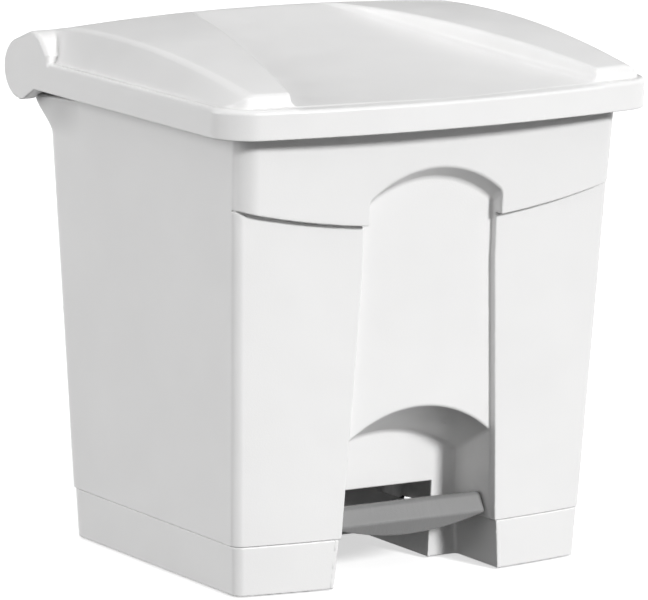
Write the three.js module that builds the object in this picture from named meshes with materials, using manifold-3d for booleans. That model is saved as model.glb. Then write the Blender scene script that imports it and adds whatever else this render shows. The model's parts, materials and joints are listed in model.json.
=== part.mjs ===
// A free-standing kitchen pedal bin, moulded in white polypropylene.
// Millimetres. +X is the bin's right as its user sees it, -Y its front, +Z up.
// The origin is on the floor, under the middle of the bin.
import * as THREE from 'three';
import { mergeVertices } from 'three/addons/utils/BufferGeometryUtils.js';
import Module from 'manifold-3d';

const wasm = await Module();
wasm.setup();

// ---------------------------------------------------------------- driving dimensions

const WALL = 3; // moulded wall
const GAP = 0.4; // clearance between pieces that rest on each other or turn in each other

// Body: a tapered box that widens upwards, with a bowed front.
const FLOOR_HALF_WIDTH = 164.7;
const SIDE_DRAFT = 0.0424;
const FLOOR_FRONT_Y = -116.9; // where each side wall turns into the front
const FRONT_DRAFT = 0.0575;
const FLOOR_REAR_Y = 149.6;
const REAR_DRAFT = 0.0576;
const FLOOR_BOW = 23.3; // how far the middle of the front stands ahead of its corners
const BOW_TAPER = 0.0225;
const FRONT_CORNER = 7;
const REAR_CORNER = 20;
const SIDE_END_Y = 105; // the rear corners begin behind this
const SEAM_Z = 42.4; // top of the plinth
const DECK_Z = 70; // inner floor, which the liner stands on
const SHOULDER_Z = 376;
const RIM_Z = 394;
const RIM_INSET = 9;
const FLARE = 9; // the rear corners swell out towards the hinge
const FLARE_START_Z = 340;
const FLARE_END_Z = 373;

// Front band: the upper front stands proud, above a lower edge that sags in the middle.
const BAND_PROUD = 8;
const BAND_CORNER = 16;
const BAND_END_Z = 319.7;
const BAND_SAG = 21.7;
const BAND_STEP_IN = 0.6; // its ends stand this far inside the side walls

// Arched front recess, and the niche that the foot goes into.
const RECESS_DEPTH = 7.5;
const RECESS_TOP_HALF = 63;
const RECESS_TAPER = 0.048;
const RECESS_TAPER_Z = 262;
const RECESS_ARCH_Z = 344.5;
const RECESS_ARCH_RADIUS = 100;
const RECESS_ARCH_Y = -160;
const RECESS_SOFFIT_SLOPE = 0.62;
const RECESS_ARCH_HALF = 85; // the arch's block is wider than the recess
const NICHE_FRONT_Y = -139;
const NICHE_REAR_Y = -72;
const NICHE_REAR_LEAN = 0.07;
const NICHE_MOUTH = { half: 69, springZ: 121, apexZ: 146 };
const NICHE_END = { half: 72, springZ: 93, apexZ: 115 };
const PLINTH_NICHE_HALF = 80.5;
const PLINTH_INSET = 1.2; // how far the plinth stands inside the body's outline
const TUNNEL_HALF = 51;
const TUNNEL_Z = DECK_Z - WALL;

// Lid: a skirted tray with a crowned top, turning on two pins inside its rolled rear edge.
const LID_HALF_WIDTH = 203.5;
const LID_FRONT_Y = -191.6;
const LID_BOW = 22.3;
const LID_CORNER = 27.5;
const LID_CORNER_BOW = 6; // what the corner rounds take off the bow
const SKIRT_BOTTOM_Z = 380.7;
const SKIRT_TOP_Z = 405;
const HINGE_Y = 170;
const HINGE_Z = 394.5;
const ROLL_RADIUS = 25.5;
const CREST_Y = 48; // the side shoulders are highest here
const CREST_Z = 436.5;
const CREST_FALL = 0.00045;
const SHOULDER_FRONT_Y = -168;
const CREST_REAR_X = 183; // the crests draw closer towards the front
const CREST_NARROWING = 2;
const FOOT_X = 196.5; // foot of each shoulder's outer wall, on the skirt's ledge
const LEDGE = LID_HALF_WIDTH - FOOT_X;
const CROWN_CORNER_END_Y = -110;
const ROLL_START_Y = 134;
const CROWN_FRONT_Y = -60;
const CROWN_RISE = 6.5;
const PANEL_FRONT_Z = 403.2; // the sunken centre panel
const PANEL_SLOPE = 0.085;
const PANEL_DISH = 0.00009;
const PANEL_MID_HALF = 98.5;
const PANEL_TAPER = 0.267;
const BARREL_RADIUS = ROLL_RADIUS - WALL - 1;
const EAR_INNER_X = 180;
const EAR_OUTER_X = 190;
const LID_END_X = 191.5;
const LIP_ANGLE = THREE.MathUtils.degToRad(25);
const BARREL_END_ANGLE = THREE.MathUtils.degToRad(38);

// Lift linkage: pedal lever, vertical rod and lid crank.
const CRANK_RADIUS = 33;
const CRANK_ANGLE = THREE.MathUtils.degToRad(40); // below level at rest
const CRANK_Y = HINGE_Y - CRANK_RADIUS * Math.cos(CRANK_ANGLE);
const CRANK_Z = HINGE_Z - CRANK_RADIUS * Math.sin(CRANK_ANGLE);
const CRANK_PIN_RADIUS = 4;
const ROD_Y = 134;
const ROD_RADIUS = 3;
const ROD_HEAD_Z = CRANK_Z - CRANK_PIN_RADIUS - 1.2;
const PIVOT_Y = -17;
const PIVOT_Z = 24;
const AXLE_RADIUS = 4;
const LEVER_TIP_Z = 9;
const LEVER_TIP_RADIUS = 5;
const SHOE_Z = LEVER_TIP_Z + LEVER_TIP_RADIUS + 1;
const TREAD_HALF = 71;
const TREAD_SLOPE = 0.24;
const TREAD_FRONT_Y = -117;
const TREAD_FRONT_Z = 64;
const TREAD_REAR_Y = -86;
const TREAD_THICKNESS = 3.5;
const LIP_DEPTH = 12;

// ---------------------------------------------------------------- materials

const PLASTIC = { color: 0xf1f1ef, roughness: 0.38, metalness: 0 };
const PEDAL_PLASTIC = { color: 0x848488, roughness: 0.45, metalness: 0 };
const LINER_PLASTIC = { color: 0xd9dadb, roughness: 0.5, metalness: 0 };
const HARD_PLASTIC = { color: 0x5c6066, roughness: 0.45, metalness: 0 };
const STEEL = { color: 0xb9bcc0, roughness: 0.3, metalness: 1 };
const RUBBER = { color: 0x2b2c2e, roughness: 0.85, metalness: 0 };

// ---------------------------------------------------------------- solids

const point = (x, y, z) => new THREE.Vector3(x, y, z);

/** Turns a closed geometry into a solid that can be cut and joined. */
function solid(geometry) {
  const bare = new THREE.BufferGeometry();
  bare.setAttribute('position', geometry.getAttribute('position').clone());
  if (geometry.index) bare.setIndex(geometry.index);
  const merged = mergeVertices(bare, 1e-4);
  const index = merged.index.array;
  const kept = [];
  for (let i = 0; i < index.length; i += 3) {
    const [a, b, c] = [index[i], index[i + 1], index[i + 2]];
    if (a !== b && b !== c && c !== a) kept.push(a, b, c);
  }
  const mesh = new wasm.Mesh({
    numProp: 3,
    vertProperties: new Float32Array(merged.getAttribute('position').array),
    triVerts: new Uint32Array(kept),
  });
  return new wasm.Manifold(mesh);
}

/** Triangles that close a flat ring of points, turning the same way as the ring. */
function capTriangles(ring) {
  const normal = point(0, 0, 0);
  ring.forEach((p, i) => normal.add(p.clone().cross(ring[(i + 1) % ring.length])));
  const size = [Math.abs(normal.x), Math.abs(normal.y), Math.abs(normal.z)];
  const drop = size.indexOf(Math.max(...size));
  const [u, v] = [[1, 2], [2, 0], [0, 1]][drop];
  const flat = ring.map((p) => new THREE.Vector2(p.getComponent(u), p.getComponent(v)));
  const ringTurns = Math.sign(THREE.ShapeUtils.area(flat));
  return THREE.ShapeUtils.triangulateShape(flat, []).map(([a, b, c]) => {
    const turns = Math.sign(THREE.ShapeUtils.area([flat[a], flat[b], flat[c]]));
    return turns === ringTurns ? [a, b, c] : [a, c, b];
  });
}

/** A closed solid through a series of rings with equal numbers of points. */
function loft(rings) {
  const count = rings[0].length;
  const points = rings.flat();
  const last = (rings.length - 1) * count;
  const faces = [];
  for (let start = 0; start < last; start += count) {
    for (let i = 0; i < count; i++) {
      const a = start + i;
      const b = start + ((i + 1) % count);
      faces.push([a, b, b + count], [a, b + count, a + count]);
    }
  }
  capTriangles(rings[0]).forEach(([a, b, c]) => faces.push([a, c, b]));
  capTriangles(rings.at(-1)).forEach(([a, b, c]) => faces.push([a + last, b + last, c + last]));
  let volume = 0;
  for (const [a, b, c] of faces) {
    volume += points[a].dot(points[b].clone().cross(points[c]));
  }
  const outward = volume > 0 ? faces : faces.map(([a, b, c]) => [a, c, b]);
  const geometry = new THREE.BufferGeometry().setFromPoints(points);
  geometry.setIndex(outward.flat());
  return solid(geometry);
}

/** A prism along X from an outline of [y, z] pairs. */
function prismX(outline, x0, x1) {
  return loft([x0, x1].map((x) => outline.map(([y, z]) => point(x, y, z))));
}

function box([x0, x1], [y0, y1], [z0, z1]) {
  const geometry = new THREE.BoxGeometry(x1 - x0, y1 - y0, z1 - z0);
  geometry.translate((x0 + x1) / 2, (y0 + y1) / 2, (z0 + z1) / 2);
  return solid(geometry);
}

/** A round bar between two points. */
function bar(from, to, radius, sides = 24, endRadius = radius) {
  const along = to.clone().sub(from);
  const geometry = new THREE.CylinderGeometry(endRadius, radius, along.length(), sides);
  const turn = new THREE.Quaternion().setFromUnitVectors(point(0, 1, 0), along.clone().normalize());
  geometry.applyQuaternion(turn);
  geometry.translate(...from.clone().add(to).multiplyScalar(0.5).toArray());
  return solid(geometry);
}

const barX = (x0, x1, y, z, radius, sides) => bar(point(x0, y, z), point(x1, y, z), radius, sides);
const barZ = (x, y, z0, z1, radius, sides) => bar(point(x, y, z0), point(x, y, z1), radius, sides);
const join = (...solids) => solids.reduce((a, b) => a.add(b));
const cut = (first, ...tools) => tools.reduce((a, b) => a.subtract(b), first);

/** Evenly spaced numbers from first to last, both included. */
function steps(first, last, count) {
  return Array.from({ length: count + 1 }, (_, i) => first + ((last - first) * i) / count);
}

const parabola = (t) => 1 - t * t;
const smooth = (t) => THREE.MathUtils.smoothstep(t, 0, 1);

// ---------------------------------------------------------------- body outline

/** The bowed front, left to right: a corner round, a parabola and a corner round. */
function frontCurve(halfWidth, cornerY, bow, radius) {
  let turn = 0;
  for (let i = 0; i < 6; i++) {
    turn = Math.atan2(
      2 * (bow - radius * Math.cos(turn)),
      halfWidth - radius + radius * Math.sin(turn),
    );
  }
  const endX = halfWidth - radius + radius * Math.sin(turn);
  const curve = Math.tan(turn) / (2 * endX);
  const right = steps(Math.PI / 2 - turn, 0, 4).map((angle) => [
    halfWidth - radius + radius * Math.cos(angle),
    cornerY - radius * Math.sin(angle),
  ]);
  const left = right.map(([x, y]) => [-x, y]).reverse();
  const middle = steps(-endX, endX, 12)
    .slice(1, -1)
    .map((x) => [x, cornerY - bow + curve * x * x]);
  return [...left, ...middle, ...right];
}

const bodyHalfWidth = (z) => FLOOR_HALF_WIDTH + SIDE_DRAFT * z;
const bodyCornerY = (z) => FLOOR_FRONT_Y - FRONT_DRAFT * z;
const bodyRearY = (z) => FLOOR_REAR_Y + REAR_DRAFT * z;
const bodyBow = (z) => FLOOR_BOW - BOW_TAPER * z;

/** The y of the plain front at a place across it. */
function frontY(x, z) {
  const across = x / bodyHalfWidth(z);
  return bodyCornerY(z) - bodyBow(z) * parabola(across);
}

/** One level of the body: its outline, moved inwards by inset. */
function bodyRing(z, { inset = 0, proud = 0, corner = FRONT_CORNER, flare = 0 } = {}) {
  const halfWidth = bodyHalfWidth(z) - inset;
  const front = frontCurve(
    halfWidth,
    bodyCornerY(z),
    bodyBow(z) + proud - inset,
    Math.max(corner - inset, 2),
  );
  const rearY = bodyRearY(z) - inset + flare;
  const radius = REAR_CORNER - inset / 2;
  const cornerX = halfWidth + flare - radius;
  const right = steps(0, Math.PI / 2, 5).map((angle) => [
    cornerX + radius * Math.cos(angle),
    rearY - radius + radius * Math.sin(angle),
  ]);
  const side = [halfWidth, SIDE_END_Y];
  const rearRight = [side, ...right];
  const rearLeft = rearRight.map(([x, y]) => [-x, y]).reverse();
  return [...front, ...rearRight, ...rearLeft].map(([x, y]) => point(x, y, z));
}

/** How far the outside is drawn in at each level, round the shoulder to the rim. */
function shoulderInset(z) {
  const t = THREE.MathUtils.clamp((z - SHOULDER_Z) / RIM_INSET, 0, 1);
  return RIM_INSET * (1 - Math.sqrt(1 - t * t));
}

const shoulderLevels = steps(0, 1, 3).map((t) => SHOULDER_Z + RIM_INSET * Math.sin((t * Math.PI) / 2));

/** The whole body as a block, drawn in by extra. Only the outside has the flare. */
function bodyBlock(bottomZ, topZ, extra = 0) {
  const flareAt = (z) => {
    if (extra > 0 || z > FLARE_END_Z) return 0;
    return FLARE * smooth((z - FLARE_START_Z) / (FLARE_END_Z - FLARE_START_Z));
  };
  const levels = [bottomZ, ...steps(FLARE_START_Z, FLARE_END_Z, 3), ...shoulderLevels, topZ];
  return loft(levels.map((z) => bodyRing(z, { inset: shoulderInset(z) + extra, flare: flareAt(z) })));
}

/** The front band's block, drawn in by extra, closed behind by a straight chord. */
function bandBlock(bottomZ, topZ, extra = 0) {
  const levels = [bottomZ, ...shoulderLevels, topZ];
  return loft(
    levels.map((z) => {
      const inset = shoulderInset(z) + extra;
      return frontCurve(
        bodyHalfWidth(z) - inset - BAND_STEP_IN,
        bodyCornerY(z),
        bodyBow(z) + BAND_PROUD - inset,
        Math.max(BAND_CORNER - inset, 3),
      ).map(([x, y]) => point(x, y, z));
    }),
  );
}

/** Everything above the band's sagging lower edge, raised by lift. */
function aboveBandEdge(lift = 0) {
  const reach = LID_HALF_WIDTH;
  const [ahead, behind] = [LID_FRONT_Y - 30, FLOOR_FRONT_Y + 60];
  return loft(
    steps(-reach, reach, 16).map((x) => {
      const across = x / bodyHalfWidth(BAND_END_Z);
      const edge = BAND_END_Z - BAND_SAG * parabola(across) + lift;
      return [
        point(x, ahead, edge),
        point(x, behind, edge),
        point(x, behind, RIM_Z + 30),
        point(x, ahead, RIM_Z + 30),
      ];
    }),
  );
}

// ---------------------------------------------------------------- recess, niche and tunnel

/** Height of a round arch at x, from its top. */
const archZ = (x, top, radius) => top - radius + Math.sqrt(radius ** 2 - x ** 2);

const recessHalf = (z) => RECESS_TOP_HALF + RECESS_TAPER * Math.max(0, RECESS_TAPER_Z - z);

/** The air in the arched front recess, grown by grow on every side. */
function recessAir(grow = 0) {
  const ahead = LID_FRONT_Y - 60;
  const slab = loft(
    [-20, 60, 120, 180, RECESS_TAPER_Z, 360].map((z) => {
      const half = recessHalf(z) + grow;
      const panel = steps(half, -half, 8).map((x) => point(x, frontY(x, z) + RECESS_DEPTH + grow, z));
      return [point(-half, ahead, z), point(half, ahead, z), ...panel];
    }),
  );
  const arch = loft(
    [ahead, -100].map((y) => {
      const reach = RECESS_ARCH_HALF;
      const top = RECESS_ARCH_Z + grow - RECESS_SOFFIT_SLOPE * (y - RECESS_ARCH_Y);
      const over = steps(reach, -reach, 16).map((x) => point(x, y, archZ(x, top, RECESS_ARCH_RADIUS + grow)));
      return [point(-reach, y, -30), point(reach, y, -30), ...over];
    }),
  );
  return slab.intersect(arch);
}

/** The air in the foot niche: an arched opening whose ceiling slopes down to the rear. */
function nicheAir(grow = 0, floorHalf = recessHalf(0) - 0.5, startY = NICHE_FRONT_Y) {
  const section = (y, lean, arch) => {
    const half = arch.half + grow;
    const rise = arch.apexZ - arch.springZ;
    const radius = (half ** 2 + rise ** 2) / (2 * rise);
    const over = steps(half, -half, 10).map((x) => [x, archZ(x, arch.apexZ + grow, radius)]);
    const outline = [[-floorHalf - grow, -20], [floorHalf + grow, -20], ...over];
    return outline.map(([x, z]) => point(x, y - lean * Math.max(z, 0), z));
  };
  return loft([
    section(startY - grow, 0, NICHE_MOUTH),
    section(NICHE_REAR_Y + grow, NICHE_REAR_LEAN, NICHE_END),
  ]);
}

const tunnelAir = () => box([-TUNNEL_HALF, TUNNEL_HALF], [-90, -60], [-20, TUNNEL_Z]);

const SCREW_PLACES = [[-124, -52], [124, -52], [-126, 112], [126, 112]];
const FOOT_PLACES = [[-140, -88], [140, -88], [-142, 128], [142, 128]];
const SCREW_RADIUS = 2.1;
const PLATE_Z = 30; // underside of the plinth's corner plates
const PLATE_THICKNESS = 4;

// ---------------------------------------------------------------- fixed pieces

/** The hinge barrel along the top of the rear wall, with an ear at each end. */
function hingeBarrel() {
  const outline = (radius, angles) =>
    angles.map((angle) => [HINGE_Y + radius * Math.cos(angle), HINGE_Z + radius * Math.sin(angle)]);
  const sweep = steps(-Math.PI / 2 - 0.12, BARREL_END_ANGLE, 12);
  const barrel = prismX(
    [...outline(BARREL_RADIUS, sweep), ...outline(BARREL_RADIUS - WALL, [...sweep].reverse())],
    -EAR_OUTER_X,
    EAR_OUTER_X,
  );
  const ears = [-1, 1].map((side) =>
    barX(side * EAR_INNER_X, side * (EAR_OUTER_X + 0.2), HINGE_Y, HINGE_Z, BARREL_RADIUS + 0.35, 40),
  );
  return join(barrel, ...ears);
}

function bodyShell() {
  const block = join(
    bodyBlock(SEAM_Z + GAP, RIM_Z),
    bandBlock(280, RIM_Z).intersect(aboveBandEdge()),
    hingeBarrel(),
  );
  const blocked = join(recessAir(WALL), nicheAir(WALL));
  const upperAir = join(
    bodyBlock(DECK_Z, RIM_Z + 1, WALL),
    bandBlock(285, RIM_Z + 1, WALL).intersect(aboveBandEdge(WALL)),
  );
  const lowerAir = bodyBlock(0, RIM_Z, WALL).intersect(
    box([-200, 200], [-200, 200], [SEAM_Z - 10, TUNNEL_Z]),
  );
  const bosses = SCREW_PLACES.map(([x, y]) => barZ(x, y, SEAM_Z + GAP, DECK_Z - 1, 6.5));
  const screwHoles = SCREW_PLACES.map(([x, y]) => barZ(x, y, 30, 63, SCREW_RADIUS + GAP, 16));
  const rodHole = barZ(0, ROD_Y, TUNNEL_Z - 2, DECK_Z + 2, ROD_RADIUS + 1.5);
  const earHoles = [-1, 1].map((side) => barX(side * 150, side * 195, HINGE_Y, HINGE_Z, 5.4));
  const shell = cut(block, upperAir.subtract(blocked), lowerAir.subtract(blocked));
  const holes = [recessAir(), nicheAir(), tunnelAir(), rodHole, ...screwHoles, ...earHoles];
  return cut(join(shell, ...bosses), ...holes);
}

function basePlinth() {
  const bottomZ = 1.5;
  const ring = (extra, z0, z1) =>
    loft([z0, z1].map((z) => bodyRing(z, { inset: PLINTH_INSET + extra })));
  const block = ring(0, bottomZ, SEAM_Z);
  const within = ring(WALL / 3, bottomZ, SEAM_Z); // what is added inside ends within the wall
  const hollow = ring(WALL, bottomZ - 5, SEAM_Z + 5);
  const niche = nicheAir(0, PLINTH_NICHE_HALF, RECESS_ARCH_Y);
  const nicheWalls = nicheAir(WALL, PLINTH_NICHE_HALF, RECESS_ARCH_Y).intersect(block);
  const tunnelWalls = [-1, 1].map((side) => {
    const across = [side * TUNNEL_HALF, side * (TUNNEL_HALF + WALL)].sort((a, b) => a - b);
    return box(across, [NICHE_REAR_Y, 160], [bottomZ, SEAM_Z]).intersect(within);
  });
  const plates = SCREW_PLACES.map(([x, y]) => {
    const across = [Math.sign(x) * 108, Math.sign(x) * 175].sort((a, b) => a - b);
    const along = y < 0 ? [-100, -38] : [98, 160];
    return box(across, along, [PLATE_Z, PLATE_Z + PLATE_THICKNESS]).intersect(within);
  });
  const posts = FOOT_PLACES.map(([x, y]) => barZ(x, y, 5.5, PLATE_Z + 1, 9));
  const screwHoles = SCREW_PLACES.map(([x, y]) => barZ(x, y, 20, 50, SCREW_RADIUS + GAP, 16));
  const pegHoles = FOOT_PLACES.map(([x, y]) => barZ(x, y, 0, 15, 3.4, 16));
  const axleHoles = barX(-70, 70, PIVOT_Y, PIVOT_Z, 6.6);
  const mouth = box([-TUNNEL_HALF, TUNNEL_HALF], [-90, -60], [-20, SEAM_Z + 5]);
  return cut(
    join(cut(block, hollow), nicheWalls, ...tunnelWalls, ...plates, ...posts),
    niche,
    mouth,
    ...screwHoles,
    ...pegHoles,
    axleHoles,
  );
}

function plinthScrew([x, y]) {
  const headTop = PLATE_Z - GAP;
  return join(
    barZ(x, y, headTop - 3, headTop, 4.5),
    barZ(x, y, headTop - 1, 60, SCREW_RADIUS, 16),
  );
}

function rubberFoot([x, y]) {
  return join(
    bar(point(x, y, 0), point(x, y, 5.1), 10, 24, 11),
    barZ(x, y, 4, 14, 3, 16),
  );
}

function axleBush(side) {
  const tube = join(
    barX(side * (TUNNEL_HALF - GAP), side * (TUNNEL_HALF + WALL + 1), PIVOT_Y, PIVOT_Z, 6.2),
    barX(side * (TUNNEL_HALF + WALL + GAP), side * (TUNNEL_HALF + WALL + 2.4), PIVOT_Y, PIVOT_Z, 9),
  );
  return tube.subtract(barX(-80, 80, PIVOT_Y, PIVOT_Z, AXLE_RADIUS + GAP));
}

const AXLE_HALF = 60;

const pedalAxle = () => barX(-AXLE_HALF, AXLE_HALF, PIVOT_Y, PIVOT_Z, AXLE_RADIUS);

function axleClip(side) {
  const washer = barX(side * 57, side * 58.2, PIVOT_Y, PIVOT_Z, 8);
  return washer.subtract(barX(-80, 80, PIVOT_Y, PIVOT_Z, AXLE_RADIUS + 0.3));
}

/** A block on the inside of the rear wall that the lift rod slides through. */
function rodGuide(z0, z1) {
  const block = box([-13, 13], [ROD_Y - 7, 175], [z0, z1]);
  return block
    .intersect(bodyBlock(DECK_Z, RIM_Z, WALL + GAP))
    .subtract(barZ(0, ROD_Y, z0 - 1, z1 + 1, ROD_RADIUS + 0.5));
}

function hingeBush(side) {
  const tube = join(
    barX(side * (EAR_INNER_X - 1), side * (EAR_OUTER_X + GAP), HINGE_Y, HINGE_Z, 5),
    barX(side * (EAR_INNER_X - 2.4), side * (EAR_INNER_X - GAP), HINGE_Y, HINGE_Z, 7.5),
  );
  return tube.subtract(barX(-220, 220, HINGE_Y, HINGE_Z, 3 + GAP));
}

function hingePin(side) {
  return join(
    barX(side * (EAR_INNER_X - 2.8), side * 199.4, HINGE_Y, HINGE_Z, 3),
    barX(side * (EAR_INNER_X - 5.8), side * (EAR_INNER_X - 2.8), HINGE_Y, HINGE_Z, 5.5),
  );
}

// ---------------------------------------------------------------- liner

/** One level of the liner: a rounded rectangle. */
function linerRing(z, grow = 0) {
  const up = (z - DECK_Z) / (RIM_Z - DECK_Z);
  const half = 147 + 19 * up + grow;
  const front = -68 - 46 * up - grow;
  const rear = 116 + 3 * up + grow;
  const radius = 22 + grow;
  const corners = [[half, rear, 0], [-half, rear, 1], [-half, front, 2], [half, front, 3]];
  return corners.flatMap(([x, y, quarter]) =>
    steps(0, Math.PI / 2, 6).map((angle) =>
      point(
        x - Math.sign(x) * radius + radius * Math.cos(angle + (quarter * Math.PI) / 2),
        y - Math.sign(y) * radius + radius * Math.sin(angle + (quarter * Math.PI) / 2),
        z,
      ),
    ),
  );
}

function innerLiner() {
  const bottomZ = DECK_Z + GAP;
  const topZ = 370;
  const wall = 2.4;
  const tub = loft([bottomZ, topZ].map((z) => linerRing(z)));
  const flange = loft([topZ - wall, topZ].map((z) => linerRing(z, 6)));
  const inside = loft([bottomZ + wall, topZ + 5].map((z) => linerRing(z, -wall)));
  return cut(join(tub, flange), inside);
}

// ---------------------------------------------------------------- lid

/** Height of the side shoulders' crest, front to rear. */
const crestZ = (y) => CREST_Z - CREST_FALL * (y - CREST_Y) ** 2;

/** How much higher the top is in the middle than at the crests. */
function crownAt(y) {
  const t = THREE.MathUtils.inverseLerp(CROWN_FRONT_Y, ROLL_START_Y, y);
  return THREE.MathUtils.lerp(1, CROWN_RISE, THREE.MathUtils.clamp(t, 0, 1));
}

/** The central panel's height: nearly straight, dished a little. */
function panelZ(y) {
  const run = y - LID_FRONT_Y;
  return PANEL_FRONT_Z + PANEL_SLOPE * run + PANEL_DISH * run ** 2;
}

/** Lid outline at skirt level, moved inwards by inset. The rear is closed by a straight line. */
function lidRing(z, inset, rearY = HINGE_Y) {
  const half = LID_HALF_WIDTH - inset;
  const bow = LID_BOW + LID_CORNER - LID_CORNER_BOW;
  const front = frontCurve(half, LID_FRONT_Y + bow, bow - inset, LID_CORNER - inset);
  return [...front, [half, rearY], [-half, rearY]].map(([x, y]) => point(x, y, z));
}

/** The skirted tray, drawn in by inset and lowered by the same. */
function lidTray(inset, bottomZ) {
  const levels = [
    [bottomZ, 0],
    [SKIRT_TOP_Z - 4.5, 0],
    [SKIRT_TOP_Z - 1.4, 1.2],
    [SKIRT_TOP_Z, 4],
  ];
  return loft(levels.map(([z, round]) => lidRing(z - (z === bottomZ ? 0 : inset), inset + round)));
}

/** What the crown loses at its front corners, where it stays one ledge inside the skirt's outline. */
function crownCorners(inset) {
  const reach = LID_HALF_WIDTH + 6;
  const depth = [LID_FRONT_Y - 1, CROWN_CORNER_END_Y];
  const around = box([-reach, reach], depth, [SKIRT_TOP_Z - 1 - inset, 460]);
  return around.subtract(loft([360, 461].map((z) => lidRing(z, inset + LEDGE))));
}

/** The crowned top and rolled rear edge, drawn in by inset, as side sections across the width. */
function lidCrown(inset) {
  const radius = ROLL_RADIUS - inset;
  const rollEnd = THREE.MathUtils.degToRad(62);
  const rollEndY = HINGE_Y + radius * Math.cos(rollEnd);
  const rollEndZ = HINGE_Z + radius * Math.sin(rollEnd);
  const narrowing = (y) => {
    const t = THREE.MathUtils.inverseLerp(ROLL_START_Y, SHOULDER_FRONT_Y, y);
    return CREST_NARROWING * THREE.MathUtils.clamp(t, 0, 1);
  };
  const section = (x, height, drawn) => {
    const across = THREE.MathUtils.clamp(x / CREST_REAR_X, -1, 1);
    const top = (y) => {
      const full = crestZ(y) + crownAt(y) * parabola(across) - inset;
      return THREE.MathUtils.lerp(SKIRT_TOP_Z - 1 - inset, full, height);
    };
    const frontY = SHOULDER_FRONT_Y + inset;
    const crest = steps(frontY, ROLL_START_Y, 11).map((y) => [y, top(y)]);
    const startSlope = 2 * CREST_FALL * (CREST_Y - ROLL_START_Y);
    const startZ = Math.max(top(ROLL_START_Y), rollEndZ + 3);
    const reach = rollEndY - ROLL_START_Y;
    const knee = new THREE.CubicBezierCurve(
      new THREE.Vector2(ROLL_START_Y, top(ROLL_START_Y)),
      new THREE.Vector2(ROLL_START_Y + reach * 0.45, startZ + startSlope * reach * 0.45),
      new THREE.Vector2(rollEndY - Math.sin(rollEnd) * 14, rollEndZ + Math.cos(rollEnd) * 14),
      new THREE.Vector2(rollEndY, rollEndZ),
    );
    const down = knee.getPoints(5).slice(1, -1).map((p) => [p.x, p.y]);
    const roll = steps(rollEnd, -Math.PI / 2, 10).map((angle) => [
      HINGE_Y + radius * Math.cos(angle),
      HINGE_Z + radius * Math.sin(angle),
    ]);
    const under = [[HINGE_Y - 14, 371.5 + inset], [134, 383 + inset], [frontY, 390]];
    const outline = [...crest, ...down, ...roll, ...under];
    return outline.map(([y, z]) => point(x - Math.sign(x) * drawn * narrowing(y), y, z));
  };
  // Each station: its x, how far the top has risen there, and how far it is drawn in at the front.
  const stations = [
    [LID_HALF_WIDTH + 5, 0, 0],
    [FOOT_X - inset, 0, 0],
    [CREST_REAR_X + 9 - inset, 0.6, 0.6],
    [CREST_REAR_X + 4 - inset, 0.9, 0.9],
    [CREST_REAR_X - 1 - inset, 1, 1],
    [150, 1, 0],
    [110, 1, 0],
    [55, 1, 0],
  ];
  const right = stations.map(([x, height, drawn]) => section(x, height, drawn));
  const left = stations.map(([x, height, drawn]) => section(-x, height, drawn)).reverse();
  const footprint = loft([360, 460].map((z) => lidRing(z, inset, HINGE_Y + 2 * ROLL_RADIUS)));
  const crown = loft([...right, section(0, 1, 0), ...left]);
  return crown.intersect(footprint).subtract(crownCorners(inset));
}

/** The air above the sunken central panel: it narrows and dies out towards the rear. */
function panelAir(drop = 0) {
  const wallX = (y) => PANEL_MID_HALF - PANEL_TAPER * y;
  return loft(
    steps(LID_FRONT_Y - 40, ROLL_START_Y - 2, 12).map((y) => {
      const low = wallX(y) + drop;
      const high = low + 12;
      const z = panelZ(Math.max(y, LID_FRONT_Y)) - drop;
      return [point(-low, y, z), point(low, y, z), point(high, y, z + 60), point(-high, y, z + 60)];
    }),
  );
}

const CRANK_PLATE_Z = 424; // where the lid's two crank bosses end
const BOSS_PLACES = [[-22, 134], [22, 134]];
const LOBE_START_Y = 128; // the solid side lobes begin here

/** The space inside the lid, kept inset from its outside. The side lobes at the hinge stay solid. */
function lidAir(inset) {
  const between = box([-LID_END_X, LID_END_X], [LOBE_START_Y, 300], [350, 500]);
  const ahead = box([-LID_HALF_WIDTH, LID_HALF_WIDTH], [-300, LOBE_START_Y], [350, 500]);
  const crown = lidCrown(inset).subtract(panelAir(inset));
  return join(crown, lidTray(inset, 360)).intersect(join(between, ahead));
}

function lid() {
  const outside = join(lidTray(0, SKIRT_BOTTOM_Z), lidCrown(0)).subtract(panelAir());
  const lipZ = HINGE_Z + ROLL_RADIUS * Math.sin(LIP_ANGLE);
  const belowCrown = box([-LID_END_X, LID_END_X], [100, 260], [340, lipZ]);
  const bosses = BOSS_PLACES.map(([x, y]) => barZ(x, y, CRANK_PLATE_Z, 437, 5));
  const holes = BOSS_PLACES.map(([x, y]) => barZ(x, y, CRANK_PLATE_Z - 5, 433.5, 2.1, 16));
  const pinHoles = [-1, 1].map((side) => barX(side * 185, side * 199.8, HINGE_Y, HINGE_Z, 3.4));
  const shell = cut(outside, lidAir(WALL), belowCrown);
  return cut(join(shell, ...bosses), ...holes, ...pinHoles);
}

function lidCrank() {
  const plateTop = CRANK_PLATE_Z - GAP;
  const plate = box([-30, 30], [124, 150], [plateTop - 4, plateTop]);
  const arm = prismX(
    [
      [CRANK_Y - 7, plateTop - 1],
      [CRANK_Y - CRANK_PIN_RADIUS + 0.5, CRANK_Z],
      [CRANK_Y, CRANK_Z - CRANK_PIN_RADIUS + 0.5],
      [CRANK_Y + CRANK_PIN_RADIUS - 0.5, CRANK_Z],
      [CRANK_Y + 5, plateTop - 1],
    ],
    -4,
    4,
  );
  const pin = barX(-11, 11, CRANK_Y, CRANK_Z, CRANK_PIN_RADIUS);
  const holes = BOSS_PLACES.map(([x, y]) => barZ(x, y, plateTop - 10, plateTop + 5, 2.5, 16));
  return cut(join(plate, arm, pin), ...holes);
}

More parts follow.
